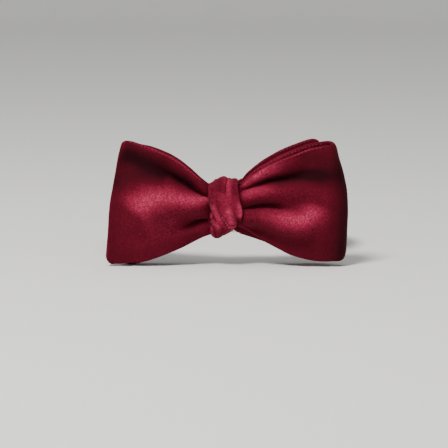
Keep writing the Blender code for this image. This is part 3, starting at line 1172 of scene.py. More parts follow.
RIGHT_PAINTED_LIGHT = [
    Crease([(10, 12.4), (18, 17), (26, 21), (36, 25.5)], 0.32, 1.6, 3.4, fade=0.5),
    Crease([(9, 6.0), (15, 8.4), (22, 10.4), (30, 11)], 0.26, 2.0, 3.0, fade=0.5),
    Crease(
        [(10, -4), (22, -4.2), (32, -6), (40, -6), (46, -2.4), (49, 4)],
        0.40, 2.6, 6.0, start=0.65, fade=0.85,
    ),
    Crease(
        [(14, 11.2), (24, 14.0), (34, 16.2), (44, 17.6), (56, 17.0), (72, 13)],
        -0.46, 1.5, 6.4, start=0.1, fade=0.48,
    ),
    Crease([(36, 30), (48, 27), (62, 24)], -0.13, 3.0, 5.0, start=0.2, fade=1),
    Crease([(10, -0.6), (17, 1.0), (24, 1.8), (31, 0.8)], -0.22, 1.1, 2.4, fade=0.6),
    Crease([(62, 34), (64.5, 14), (64, -4), (62.5, -27)], -0.33, 5.0, 7.4, fade=1),
    Crease([(18, -13), (33, -20), (50, -22)], -0.10, 4.0, 7.0, fade=1),
    Crease([(14, 15.4), (25.8, 24.2), (35.2, 28.8), (47, 32.2)], 0.22, 0.8, 0.8, start=0.05, fade=0.9),
]


class BladeRoute:
    """The plan route of a blade's middle, laid stretch by stretch, in millimetres.

    Each step says how far across it is, how deep, which ply's outline it follows (0 for the
    front one and 1 for the rear one) and how much of the wing's folds it takes.
    """

    def __init__(self) -> None:
        """Start with an empty route."""
        self.steps: list[tuple[float, float, float, float]] = []

    def inside(self, first: float, last: float, depth: float, ply: float, hold: float) -> None:
        """Add a straight run inside the knot.

        Args:
            first: Where it starts, across.
            last: Where it ends.
            depth: How far in front of the neck it lies.
            ply: Which ply's outline it follows.
            hold: How much of the folds it takes.
        """
        for x in np.linspace(first, last, ROUTE_STEPS["inside"]):
            self.steps.append((x, -depth, ply, hold))

    def cross(
        self, wing: Wing, inner: float, outer: float, ply: float, hold: float,
        bulge: float = 0.0, edge: float = 1.0, outward: bool = True,
    ) -> None:
        """Add a run between the knot and a wing's rim.

        Args:
            wing: Which wing it crosses.
            inner: Depth in the knot.
            outer: Depth at the rim.
            ply: Which ply's outline it follows.
            hold: How much of the folds it takes.
            bulge: How far its middle stands forward.
            edge: The share of the reach at its outer end.
            outward: Whether it runs from the knot to the rim, or back.
        """
        shares = np.linspace(0.01, 1, ROUTE_STEPS["wing"])
        for share in shares if outward else shares[::-1]:
            across = KNOT_SIDE + WING_SPAN * share * edge
            depth = inner + (outer - inner) * float(smooth(0, 1, share)) + bulge * sin(pi * share) ** 2
            self.steps.append((wing.value * across, -depth, ply, hold))

    def turn(self, wing: Wing, edge: float, depth: tuple, ply: tuple, hold: tuple) -> None:
        """Fold round at a wing's rim.

        Args:
            wing: Which wing it is on.
            edge: The share of the reach at which it turns.
            depth: The depths before and after.
            ply: The plies before and after.
            hold: The holds before and after.
        """
        middle, half = (depth[0] + depth[1]) / 2, (depth[0] - depth[1]) / 2
        for angle in np.linspace(0, pi, ROUTE_STEPS["turn"])[1:-1]:
            share = angle / pi
            across = KNOT_SIDE + WING_SPAN * edge + abs(half) * WING_SPAN / REAL_SPAN * sin(angle)
            here = ply[0] + (ply[1] - ply[0]) * share
            held = hold[0] + (hold[1] - hold[0]) * share
            self.steps.append((wing.value * across, -(middle + half * cos(angle)), here, held))

    def read(self, t: Grid) -> list[Grid]:
        """Read the route at shares of its length.

        Args:
            t: Shares of the length, from 0 to 1.

        Returns:
            The place across, the depth, the ply and the hold at each share.
        """
        steps = np.array(self.steps, float)
        run = run_along(steps[:, :2])
        return [np.interp(t, run / run[-1], column) for column in steps.T]


@dataclass(kw_only=True)
class Blade(SewnStrip):
    """A half tie's blade: a sewn velvet strip, folded once and pleated through the knot."""

    route: BladeRoute
    outlines: dict[Wing, tuple[PlyOutline, PlyOutline]]
    thickness: float = 2.1 * MM
    rows: int = 330
    columns: int = 60
    pinch: float = 0.72
    pinch_span: tuple[float, float] = (1.5 * MM, 9.2 * MM)
    fold_span: tuple[float, float] = (7.0 * MM, 13.0 * MM)
    ripple: float = 0.22 * MM

    def plan(self, t: Grid, v: Grid) -> tuple[Grid, Grid, Grid, Grid]:
        """Place the cloth in the viewer's plane, before its folds.

        Args:
            t: Share of the way along the strip.
            v: Share of the way across it, from -1 to 1.

        Returns:
            The place across, the height, the depth and how much of the folds it takes.
        """
        across, depth, ply, hold = self.route.read(t)
        reach = (np.abs(across) - KNOT_SIDE) / WING_SPAN
        x, z = np.zeros((2, *across.shape))
        for wing in Wing:
            (fx, fz), (rx, rz) = (outline.place(reach, v) for outline in self.outlines[wing])
            here = (across < 0) == (wing is Wing.LEFT)
            x = np.where(here, wing.value * (fx + (rx - fx) * ply), x)
            z = np.where(here, fz + (rz - fz) * ply, z)
        return x, z, depth, hold

    def surface(self, t: Grid, v: Grid) -> Grid:
        """Fold the cloth and pinch it through the knot.

        Args:
            t: Share of the way along the strip.
            v: Share of the way across it, from -1 to 1.

        Returns:
            Points, in metres.
        """
        x, z, depth, hold = self.plan(t, v)
        relief = np.where(x < 0, total_relief(LEFT_FOLDS, x, z), total_relief(RIGHT_FOLDS, x, z))
        z = z * (self.pinch + (1 - self.pinch) * smooth(*self.pinch_span, np.abs(x)))
        ripple = self.ripple * np.sin(x * 410 + z * 260) * np.sin(z * 350 - x * 190 + 1.3)
        y = depth * MM - (relief * hold + ripple) * smooth(*self.fold_span, np.abs(x))
        return np.stack([x, y, z], -1)

    def painted_light(self, t: Grid, v: Grid) -> Grid:
        """Paint highlights on the ridges and shade in the folds.

        Args:
            t: Share of the way along the strip.
            v: Share of the way across it, from -1 to 1.

        Returns:
            The level of painted light and shade at each place.
        """
        x, z, _, hold = self.plan(t, v)
        # Painted light and shade: the strokes lighten or darken the level, most where the cloth takes the
        # folds.
        painted_strokes = np.where(x < 0, total_relief(LEFT_PAINTED_LIGHT, x, z), total_relief(RIGHT_PAINTED_LIGHT, x, z)) / MM
        return np.clip(NEUTRAL_LIGHT_LEVEL + painted_strokes * (0.15 + 0.85 * hold), *PAINTED_LIGHT_LIMITS)

    def edge_line(self, first: float, last: float, inset: float) -> tuple[Grid, Grid]:
        """Follow the blade's top edge on the face towards the viewer, for a row of stitches.

        Args:
            first: Where the line starts, as a share of the strip.
            last: Where it ends.
            inset: How far in from the edge it runs, in millimetres.

        Returns:
            Points on the face and the face's direction at each.
        """
        t = np.linspace(first, last, 220)
        v = 1 - 2 * inset * MM / self.width_at(t)
        normal = self.front_normals(t, v)
        return self.surface(t, v) + normal * self.thickness / 2, normal


def make_blade_a() -> Blade:
    """Lay out the blade whose loop is in front on the right and whose flat end is in front on the left.

    Returns:
        The blade, ready to build.
    """
    route = BladeRoute()
    rim = 0.925
    route.inside(-6.5, KNOT_SIDE, depth=9.6, ply=1, hold=0)
    route.cross(Wing.RIGHT, inner=9.6, outer=8.6, ply=1, hold=0.55, edge=rim)
    route.turn(Wing.RIGHT, rim, depth=(8.6, 17.0), ply=(1, 0), hold=(0.55, 1))
    route.cross(Wing.RIGHT, inner=12.4, outer=17.0, ply=0, hold=1, bulge=2.2, edge=rim, outward=False)
    route.inside(KNOT_SIDE, -KNOT_SIDE, depth=12.4, ply=0, hold=1)
    route.cross(Wing.LEFT, inner=12.4, outer=14.2, ply=0, hold=1, bulge=2.0)
    outlines = {Wing.RIGHT: (RIGHT_LOOP_FRONT, RIGHT_LOOP_REAR), Wing.LEFT: (LEFT_FRONT, LEFT_FRONT)}
    return Blade(name="blade_a", route=route, outlines=outlines)


def make_blade_b() -> Blade:
    """Lay out the blade whose loop is behind the left wing and whose flat end is behind the right one.

    Returns:
        The blade, ready to build.
    """
    route = BladeRoute()
    rim = 0.94
    route.inside(6.5, -KNOT_SIDE, depth=6.8, ply=0, hold=0)
    route.cross(Wing.LEFT, inner=6.8, outer=10.0, ply=0, hold=0.35, edge=rim)
    route.turn(Wing.LEFT, rim, depth=(10.0, 4.2), ply=(0, 1), hold=(0.35, 0.2))
    route.cross(Wing.LEFT, inner=4.0, outer=4.2, ply=1, hold=0.2, edge=rim, outward=False)
    route.inside(-KNOT_SIDE, KNOT_SIDE, depth=4.0, ply=1, hold=0.2)
    route.cross(Wing.RIGHT, inner=4.0, outer=4.6, ply=0, hold=0.2)
    outlines = {Wing.LEFT: (LEFT_LOOP_FRONT, LEFT_LOOP_REAR), Wing.RIGHT: (RIGHT_END, RIGHT_END)}
    return Blade(name="blade_b", route=route, outlines=outlines)


# ---------------------------------------------------------------- the knot


# Lines of the knot that have both a fold and a stroke of painted shade.
LAP_LINE = [(-9.2, 5.4), (-8.2, 2.2), (-7.4, -0.6), (-6.5, -3.2), (-5.5, -5.6), (-4.5, -8.0)]
UNDER_LINE = [(-8.1, -5.6), (-7.5, -7.4), (-6.6, -9.4), (-5.9, -11.4), (-5.2, -13.6), (-4.6, -16.6)]
CLOSING_LINE = [(-4.9, 1.6), (-3.0, -2.0), (-1.5, -4.8), (0.3, -7.8), (1.8, -10.2), (2.6, -12.6)]
TOP_LINE = [(1.1, 17), (0.8, 14.4), (0.6, 12), (0.5, 9.4), (1.0, 5)]
KNOT_CREASES = [
    Crease(LAP_LINE, -3.4, 0.95, 1.25, fade=0.75),
    Crease(
        [(-7.0, 3.0), (-5.9, -0.3), (-4.7, -3.6), (-3.5, -6.8), (-2.4, -10.4)],
        1.3, 1.1, 1.4, fade=0.7, lean=0.45,
    ),
    Crease(
        [(-8.0, -1.6), (-6.9, -5.2), (-5.4, -8.0), (-3.6, -10.4), (-2.6, -12.4)],
        1.3, 0.55, 0.9, start=0.1, fade=0.8,
    ),
    Crease(UNDER_LINE, -3.4, 0.75, 1.05, start=0.1, fade=1),
    Crease([(-8.2, -7.8), (-7.5, -10.2), (-6.9, -12.6), (-6.4, -15.4)], 0.9, 0.6, 0.7, start=0.1, fade=1),
    Crease(CLOSING_LINE, -2.3, 0.5, 0.65, start=0.2, fade=1),
    Crease(
        [(-3.2, 1.2), (-1.5, -2.2), (0.2, -5.4), (1.8, -8.0), (3.0, -11)],
        0.8, 1.2, 1.4, start=0.15, fade=0.9, lean=0.4,
    ),
    Crease(
        [(1.0, 1.4), (3.0, -2.6), (4.3, -5.4), (4.6, -8.9), (4.2, -12)],
        1.2, 1.2, 1.1, start=0.3, fade=1, lean=-0.4,
    ),
    Crease(
        [(3.0, -0.6), (4.8, -3.8), (5.6, -6.4), (5.7, -9.4), (5.4, -12)],
        -2.2, 0.6, 0.75, start=0.3, fade=1,
    ),
    Crease(TOP_LINE, -2.2, 0.6, 0.7, fade=0.6),
    Crease([(2.0, 16), (1.6, 12), (1.6, 8), (2.2, 3)], 0.8, 0.7, 1.5, fade=0.5),
    Crease([(4.2, 15.6), (4.4, 12), (4.0, 8)], -0.6, 0.8, 0.9, fade=0.6),
    Crease([(-5.9, 14), (-6.0, 11), (-6.6, 7)], -0.7, 0.7, 0.9, fade=0.7),
]
# Strokes of painted light on the knot: above 0 a painted highlight on its rolls, below 0 painted shade in
# its creases.
KNOT_PAINTED_LIGHT = [
    Crease(LAP_LINE, -0.62, 0.8, 1.0, fade=0.9),
    Crease(UNDER_LINE, -0.62, 0.65, 0.85, fade=1),
    Crease(CLOSING_LINE, -0.46, 0.45, 0.55, start=0.2, fade=1),
    Crease(TOP_LINE, -0.34, 0.5, 0.6, fade=0.6),
    Crease([(2.0, 15.6), (1.7, 12), (1.7, 8), (2.2, 3)], 0.16, 0.6, 1.2, fade=0.7),
    Crease([(5.0, 15), (5.0, 11), (4.6, 6)], -0.12, 1.3, 1.4, fade=0.8),
    Crease([(0.6, 1), (1.4, -2.5), (2.6, -5.5), (3.2, -9)], 0.26, 2.4, 2.0, start=0.35, fade=1),
    Crease([(6, 4), (7.4, 0), (7.6, -3.4)], 0.32, 1.6, 1.8, start=0.3, fade=1),
    Crease([(-2, 6), (0, 2), (1, -1)], 0.09, 2.4, 2.4, fade=1),
    Crease([(-3, 15), (-2.4, 11), (-2.2, 8)], -0.12, 1.6, 1.8, fade=0.8),
    Crease([(-6.4, 1.6), (-5.2, -1.6), (-3.8, -4.8), (-2.4, -7.4)], 0.24, 0.8, 1.1, fade=1),
    Crease([(-7.9, -2.6), (-6.8, -5.6), (-5.4, -8.0), (-3.6, -10.2)], 0.24, 0.4, 0.6, fade=1),
    Crease([(-8.2, -8.6), (-7.4, -11.4), (-6.6, -15.2)], 0.14, 0.4, 0.5, fade=1),
    Crease([(5.4, -5.0), (6.6, -6.6), (6.6, -10)], -0.26, 0.9, 1.3, fade=1),
    Crease([(-6, 11), (-5, 5), (-3, 1)], -0.08, 3.4, 2.6, fade=1),
    Crease([(-1.6, -9.5), (-1.4, -12), (-2.6, -15)], -0.14, 1.5, 1.6, start=0.2, fade=1),
]
KNOT_LEFT = Edge([
    (-18, 6.0), (-15.4, 6.8), (-12.9, 7.4), (-10, 7.6), (-6, 7.75), (-3, 7.7), (0, 7.8), (2.5, 8.2),
    (6, 8.6), (9, 8.9), (11.5, 8.7), (13, 7.3), (15, 5.9), (18, 5.4),
])
KNOT_RIGHT = Edge([
    (-18, 3.8), (-14, 4.2), (-11, 4.9), (-9.4, 5.6), (-8, 6.8), (-6, 8.1), (-3, 8.8), (0, 8.4),
    (4, 7.4), (8, 6.8), (12, 6.4), (15, 6.1), (18, 5.4),
])
KNOT_TOP = Edge([
    (-10, 11.5), (-7.4, 11.8), (-6.4, 12.2), (-5.5, 13.4), (-4.4, 14.2), (-3.3, 15.0), (-1.2, 15.5),
    (0.6, 15.1), (1.8, 14.4), (3.0, 14.1), (4.1, 14.3), (5.4, 14.7), (6.8, 14.3), (7.6, 13.8), (10, 12),
])
KNOT_FOOT = Edge([
    (-10, 13.6), (-7.2, 14.6), (-5.4, 15.6), (-3.6, 15.6), (-2.2, 15.1), (-0.8, 14.4), (0.4, 14.1),
    (1.4, 13.8), (2.6, 13.3), (3.8, 12.8), (5.2, 11.6), (7, 9.6), (10, 9.0),
])


@dataclass(kw_only=True)
class Knot(SewnStrip):
    """The narrow neck of the second half tie, wrapped over the pinched middle and pulled tight."""

    name: str = "knot_wrap"
    thickness: float = 2.2 * MM
    rows: int = 280
    columns: int = 96
    half_height: float = 15.2 * MM
    half_width: float = 7.6 * MM
    front: float = 15.0 * MM
    back: float = 1.25 * MM
    mouth: float = 10.9 * MM
    front_corner: float = 3.4 * MM
    back_corner: float = 2.2 * MM
    fullness: float = 2.9 * MM
    back_half_width: float = 5.9 * MM
    back_foot_half_width: float = 3.6 * MM
    back_foot: float = 12.9 * MM
    back_head: float = 13.0 * MM

    def section(self) -> tuple[Grid, Grid]:
        """Draw the wrap's path in depth and height, from the lower lip to the upper one.

        Returns:
            The share of the way and the depth and height of each of its points.
        """
        r, small = self.front_corner, self.back_corner
        top, front, back = self.half_height, -self.front, -self.back
        corners_round = (
            (back - small, -top + small, small, 0),
            (front + r, -top + r, r, -90),
            (front + r, top - r, r, -180),
            (back - small, top - small, small, -270),
        )
        path = [(back, -self.mouth)]
        for y, z, radius, first in corners_round:
            for angle in np.radians(np.linspace(first, first - 90, 14)):
                path.append((y + radius * cos(angle), z + radius * sin(angle)))
        path.append((back, self.mouth))
        run = run_along(np.array(path))
        return run / run[-1], np.array(path)

    def surface(self, t: Grid, v: Grid) -> Grid:
        """Place the middle of the wrap's cloth in space.

        Args:
            t: Share of the way round, from the lower lip to the upper one.
            v: Share of the way across, from -1 to 1.

        Returns:
            Points, in metres.
        """
        run, points = self.section()
        y, z = (np.interp(t, run, column) for column in points.T)
        behind = smooth(-12 * MM, -5 * MM, y)
        nominal = v * (self.half_width - 1.8 * MM * behind)
        foot = KNOT_FOOT.at(nominal) + (self.back_foot - KNOT_FOOT.at(nominal)) * behind
        head = KNOT_TOP.at(nominal) + (self.back_head - KNOT_TOP.at(nominal)) * behind
        limit = np.where(z < 0, foot, head) / self.half_height
        lip = smooth(4 * MM, 0.5 * MM, -y) * smooth(13.4 * MM, 11 * MM, np.abs(z))
        z = z * (1 + (limit - 1) * smooth(0, 9 * MM, np.abs(z)) * (1 - lip))
        left, right = KNOT_LEFT.at(z), KNOT_RIGHT.at(z)
        left = left + (self.back_half_width - left) * behind
        back_right = np.where(z < 0, self.back_foot_half_width, self.back_half_width)
        right = right + (back_right - right) * behind
        x = (right - left) / 2 + (right + left) / 2 * v
        in_front = smooth(-11.6 * MM, -14.8 * MM, y)
        dome = np.clip(1 - (x / (10 * MM)) ** 2, 0, 1) * np.clip(1 - (z / (17.5 * MM)) ** 2, 0, 1) ** 0.8
        relief = total_relief(KNOT_CREASES, x, z)
        y = y - in_front * (self.fullness * dome + relief)
        over = smooth(9 * MM, 13 * MM, z) * (1 - in_front) * (1 - behind)
        return np.stack([x, y, z + over * relief * 0.6], -1)

    def painted_light(self, t: Grid, v: Grid) -> Grid:
        """Paint highlights on the knot's rolls and shade in its creases.

        Args:
            t: Share of the way round.
            v: Share of the way across, from -1 to 1.

        Returns:
            The level of painted light and shade at each place.
        """
        x, y, z = np.moveaxis(self.surface(t, v), -1, 0)
        painted_strokes = total_relief(KNOT_PAINTED_LIGHT, x, z) / MM
        # The whole front of the knot is painted a little lighter, then the strokes add painted highlight
        # and shade.
        return np.clip(NEUTRAL_LIGHT_LEVEL + 0.12 + painted_strokes * smooth(-11.0 * MM, -14.6 * MM, y), *PAINTED_LIGHT_LIMITS)

    def on_front(self, points: list[tuple[float, float]], lift: float) -> tuple[Grid, Grid]:
        """Lay a line on the knot's front, for its closing stitches.

        Args:
            points: The line's places across and up, in millimetres.
            lift: How far it stands off the cloth's middle, in metres.

        Returns:
            Points on the knot and its direction at each.
        """
        t, v = np.meshgrid(np.linspace(0.25, 0.75, 420), np.linspace(-0.98, 0.98, 200), indexing="ij")
        normal = self.front_normals(t, v)
        outer = self.surface(t, v) + normal * lift
        places, directions = [], []
        for x, z in rounded(points, 10):
            near = np.hypot(outer[..., 0] - x, outer[..., 2] - z) < 0.3 * MM
            foremost = np.unravel_index(np.argmin(np.where(near, outer[..., 1], 0)), near.shape)
            places.append((x, outer[foremost][1], z))
            directions.append(normal[foremost])
        places = np.array(places)
        depths = np.pad(places[:, 1], 3, mode="edge")
        places[:, 1] = np.convolve(depths, np.full(7, 1 / 7), mode="valid")
        return places, np.array(directions)


# ---------------------------------------------------------------- the neck band


@dataclass(frozen=True)
class Ring:
    """The circle that the neck band lies on, as the joints place it."""

    radius: float = 61.0 * MM
    middle: float = 62.15 * MM
    straight: float = 9.5 * MM
    upright_until: float = 9.0
    leaning_from: float = 60.0

    @property
    def normal(self) -> Grid:
        """The ring's own upward direction, which is the joints' axis."""
        axis = np.array(JOINTS["slide_travel"]["axis"], float)
        return axis / np.linalg.norm(axis)

    @property
    def backward(self) -> Grid:
        """The ring's own direction away from the viewer."""
        n = self.normal
        return np.array([0, n[2], -n[1]])

    @property
    def centre(self) -> Grid:
        """The ring's centre."""
        return self.backward * sqrt(self.radius**2 - self.straight**2)

    def outward(self, place: Grid) -> Grid:
        """Give the outward direction at an arc length from the middle of the back."""
        angle = np.asarray(place)[..., None] / self.middle
        return self.backward * np.cos(angle) - np.array([1, 0, 0]) * np.sin(angle)

    def tangent(self, place: Grid) -> Grid:
        """Give the direction in which the arc length grows."""
        angle = np.asarray(place)[..., None] / self.middle
        return -self.backward * np.sin(angle) - np.array([1, 0, 0]) * np.cos(angle)

    def point(self, place: Grid, radius: Grid, height: Grid) -> Grid:
        """Give a point from its arc length, its radius and its height along the normal."""
        radius, height = np.asarray(radius)[..., None], np.asarray(height)[..., None]
        return self.centre + self.outward(place) * radius + self.normal * height

    def band(self, place: Grid, depth: Grid, height: Grid) -> Grid:
        """Give a point of the band, which stands upright in front and leans round the sides.

        Args:
            place: Arc length from the middle of the back.
            depth: Distance outwards from the band's inner face.
            height: Distance up from the band's middle line.

        Returns:
            Points, in metres.
        """
        place = np.asarray(place)
        from_front = 180 - np.degrees(np.abs(place) / self.middle)
        lean = smooth(self.upright_until, self.leaning_from, from_front)[..., None]
        up = np.array([0, 0, 1]) * (1 - lean) + self.normal * lean
        along = self.tangent(place)
        out = np.cross(along, up)
        out = out / np.linalg.norm(out, axis=-1, keepdims=True)
        out = np.where((out * self.outward(place)).sum(-1, keepdims=True) < 0, -out, out)
        up = np.cross(out, along)
        up = np.where(up[..., 2:3] < 0, -up, up)
        base = self.centre + self.outward(place) * self.radius + out * np.asarray(depth)[..., None]
        return base + up * np.asarray(height)[..., None]

    def frame(self, place: float, origin: Grid) -> Matrix:
        """Give the placing of a metal piece: X along the band, Y outwards, Z along the normal."""
        columns = (Vector(-self.tangent(place)), Vector(self.outward(place)), Vector(self.normal))
        return Matrix.Translation(Vector(origin)) @ Matrix(columns).transposed().to_4x4()


RING = Ring()
BAND_THICKNESS = 2.3 * MM
BAND_FRONT = RING.middle * (pi - np.arcsin(RING.straight / RING.radius))


@dataclass(kw_only=True)
class Band(SewnStrip):
    """One side of the neck band: a narrow sewn velvet strip between two places on the ring.

    Its first stretch may lie flat behind the knot before it joins the ring.
    """

    start: float
    end: float
    flat: float = 0.0
    width: float = 19.0 * MM
    thickness: float = BAND_THICKNESS
    rows: int = 260
    columns: int = 22

    def surface(self, t: Grid, v: Grid) -> Grid:
        """Place the middle of the band in space.

        Args:
            t: Share of the way along it from the knot.
            v: Share of the way across it, from -1 to 1.

        Returns:
            Points, in metres.
        """
        total = self.flat + abs(self.end - self.start)
        run = t * total
        way = 1 if self.end > self.start else -1
        place = self.start + way * np.clip(run - self.flat, 0, None)
        height = v * self.width / 2
        wave = 0.10 * MM * np.sin(run * 330) * v + 0.12 * MM * np.sin(run * 170 + 2 * v)
        calm = smooth(self.flat, self.flat + 12 * MM, run) if self.flat else smooth(0, 9 * MM, run)
        depth = self.thickness / 2 + wave * calm
        ring = RING.band(place, depth, height)
        x = RING.straight - (self.flat - run)
        straight = np.stack([x, np.full_like(x, -self.thickness / 2), height], -1)
        return np.where((run < self.flat)[..., None], straight, ring)


# ---------------------------------------------------------------- the adjuster


LEFT_BAND_END = 73.8 * MM
RIGHT_BAND_END = -13.0 * MM
SLIDE_PLACE = 44.0 * MM
CLOSURE = 2.5 * MM
HOOK_BAR = (13.486 * MM, 60.85 * MM)
EYE_BAR = (-7.4686 * MM, 58.857 * MM)
SLIDE_BAR = (SLIDE_PLACE, RING.middle - 2.3 * MM)
HOOK_TURN, SLIDE_TURN, EYE_TURN = 1.3 * MM, 1.35 * MM, 1.4 * MM
WOVEN = Seam((0.0, 0.09, 0.3), (0.0, 0.72, 1.0))
QUARTER_TURN_HANDLE = 0.5523
Route = list[tuple[float, float]]


def around(bar: tuple[float, float], turn: float, first: float, last: float) -> Route:
    """Go round a bar.

    Args:
        bar: The bar's ring place and radius.
        turn: How far from its middle the ribbon goes.
        first: The angle where it starts, in degrees.
        last: The angle where it ends.

    Returns:
        Ring places and radii.
    """
    steps = np.radians(np.linspace(first, last, 16))
    return [(bar[0] + turn * cos(a), bar[1] + turn * sin(a)) for a in steps]


@dataclass(kw_only=True)
class Strap(SewnStrip):
    """A length of woven ribbon that follows a path of ring places and radii."""

    path: Route
    width: float = 12.0 * MM
    thickness: float = 0.6 * MM
    rows: int = 200
    columns: int = 16
    seam: Seam = WOVEN
    slot: str = "ribbon"

    def surface(self, t: Grid, v: Grid) -> Grid:
        """Place the middle of the ribbon in space.

        Args:
            t: Share of the way along it.
            v: Share of the way across it, from -1 to 1.

        Returns:
            Points, in metres.
        """
        points = np.array(self.path)
        run = run_along(points)
        place, radius = (np.interp(t * run[-1], run, column) for column in points.T)
        return RING.point(place, radius, v * self.width / 2)


def main_run() -> Strap:
    """Lay out the strap from inside the left band to round the hook's bar.

    Returns:
        The ribbon, ready to build.
    """
    path = [(s, RING.middle) for s in np.linspace(80 * MM, HOOK_BAR[0] + 1.5 * MM, 90)]
    path += around(HOOK_BAR, HOOK_TURN, 90, 270)
    path.append((HOOK_BAR[0] + 1.6 * MM, HOOK_BAR[1] - HOOK_TURN))
    return Strap(name="adjuster_main_run", path=path)


def return_leg() -> Strap:
    """Lay out the strap from the hook's bar back to the slide's middle bar and round it.

    Returns:
        The ribbon, ready to build.
    """
    low, high = HOOK_BAR[1] - HOOK_TURN, SLIDE_BAR[1] - SLIDE_TURN
    first, last = HOOK_BAR[0] + 4 * MM, SLIDE_PLACE - 4 * MM
    path = [(HOOK_BAR[0] + 1.7 * MM, low)]
    path += [(s, low + (high - low) * float(smooth(first, last, s))) for s in np.linspace(first, last, 40)]
    path += around(SLIDE_BAR, SLIDE_TURN, -90, 90)
    path.append((SLIDE_PLACE - 4.5 * MM, SLIDE_BAR[1] + SLIDE_TURN))
    return Strap(name="adjuster_return_leg", path=path, rows=120)


def eye_loop() -> Strap:
    """Lay out the short loop that ties the eye to the right band.

    Returns:
        The ribbon, ready to build.
    """
    path = [(s * MM, RING.middle) for s in (-22, -19, -12.4)]
    path += around(EYE_BAR, EYE_TURN, 90, -90)
    path.append((-12 * MM, EYE_BAR[1] - EYE_TURN - 0.3 * MM))
    path.append((-18 * MM, RING.radius - 0.6 * MM))
    return Strap(name="eye_loop_ribbon", path=path, rows=90)


def bar_tack(name: str, place: float, radius: float, finish: bpy.types.Material) -> bpy.types.Object:
    """Sew a dense bar of stitches across a strap.

    Args:
        name: The piece's name.
        place: Its arc length from the middle of the back.
        radius: The radius of the face it lies on.
        finish: Its material.

    Returns:
        The dressed bar.
    """
    heights = np.linspace(-5 * MM, 5 * MM, 60)
    path, normals = [], []
    for row, shift in enumerate(np.linspace(-0.7 * MM, 0.7 * MM, 4)):
        order = heights if row % 2 == 0 else heights[::-1]
        places = np.full(len(order), place + shift)
        path.append(RING.point(places, np.full(len(order), radius), order))
        normals.append(RING.outward(places) * (1 if radius > RING.middle else -1))
    return TACK_STITCH.sew(name, np.vstack(path), np.vstack(normals), finish)


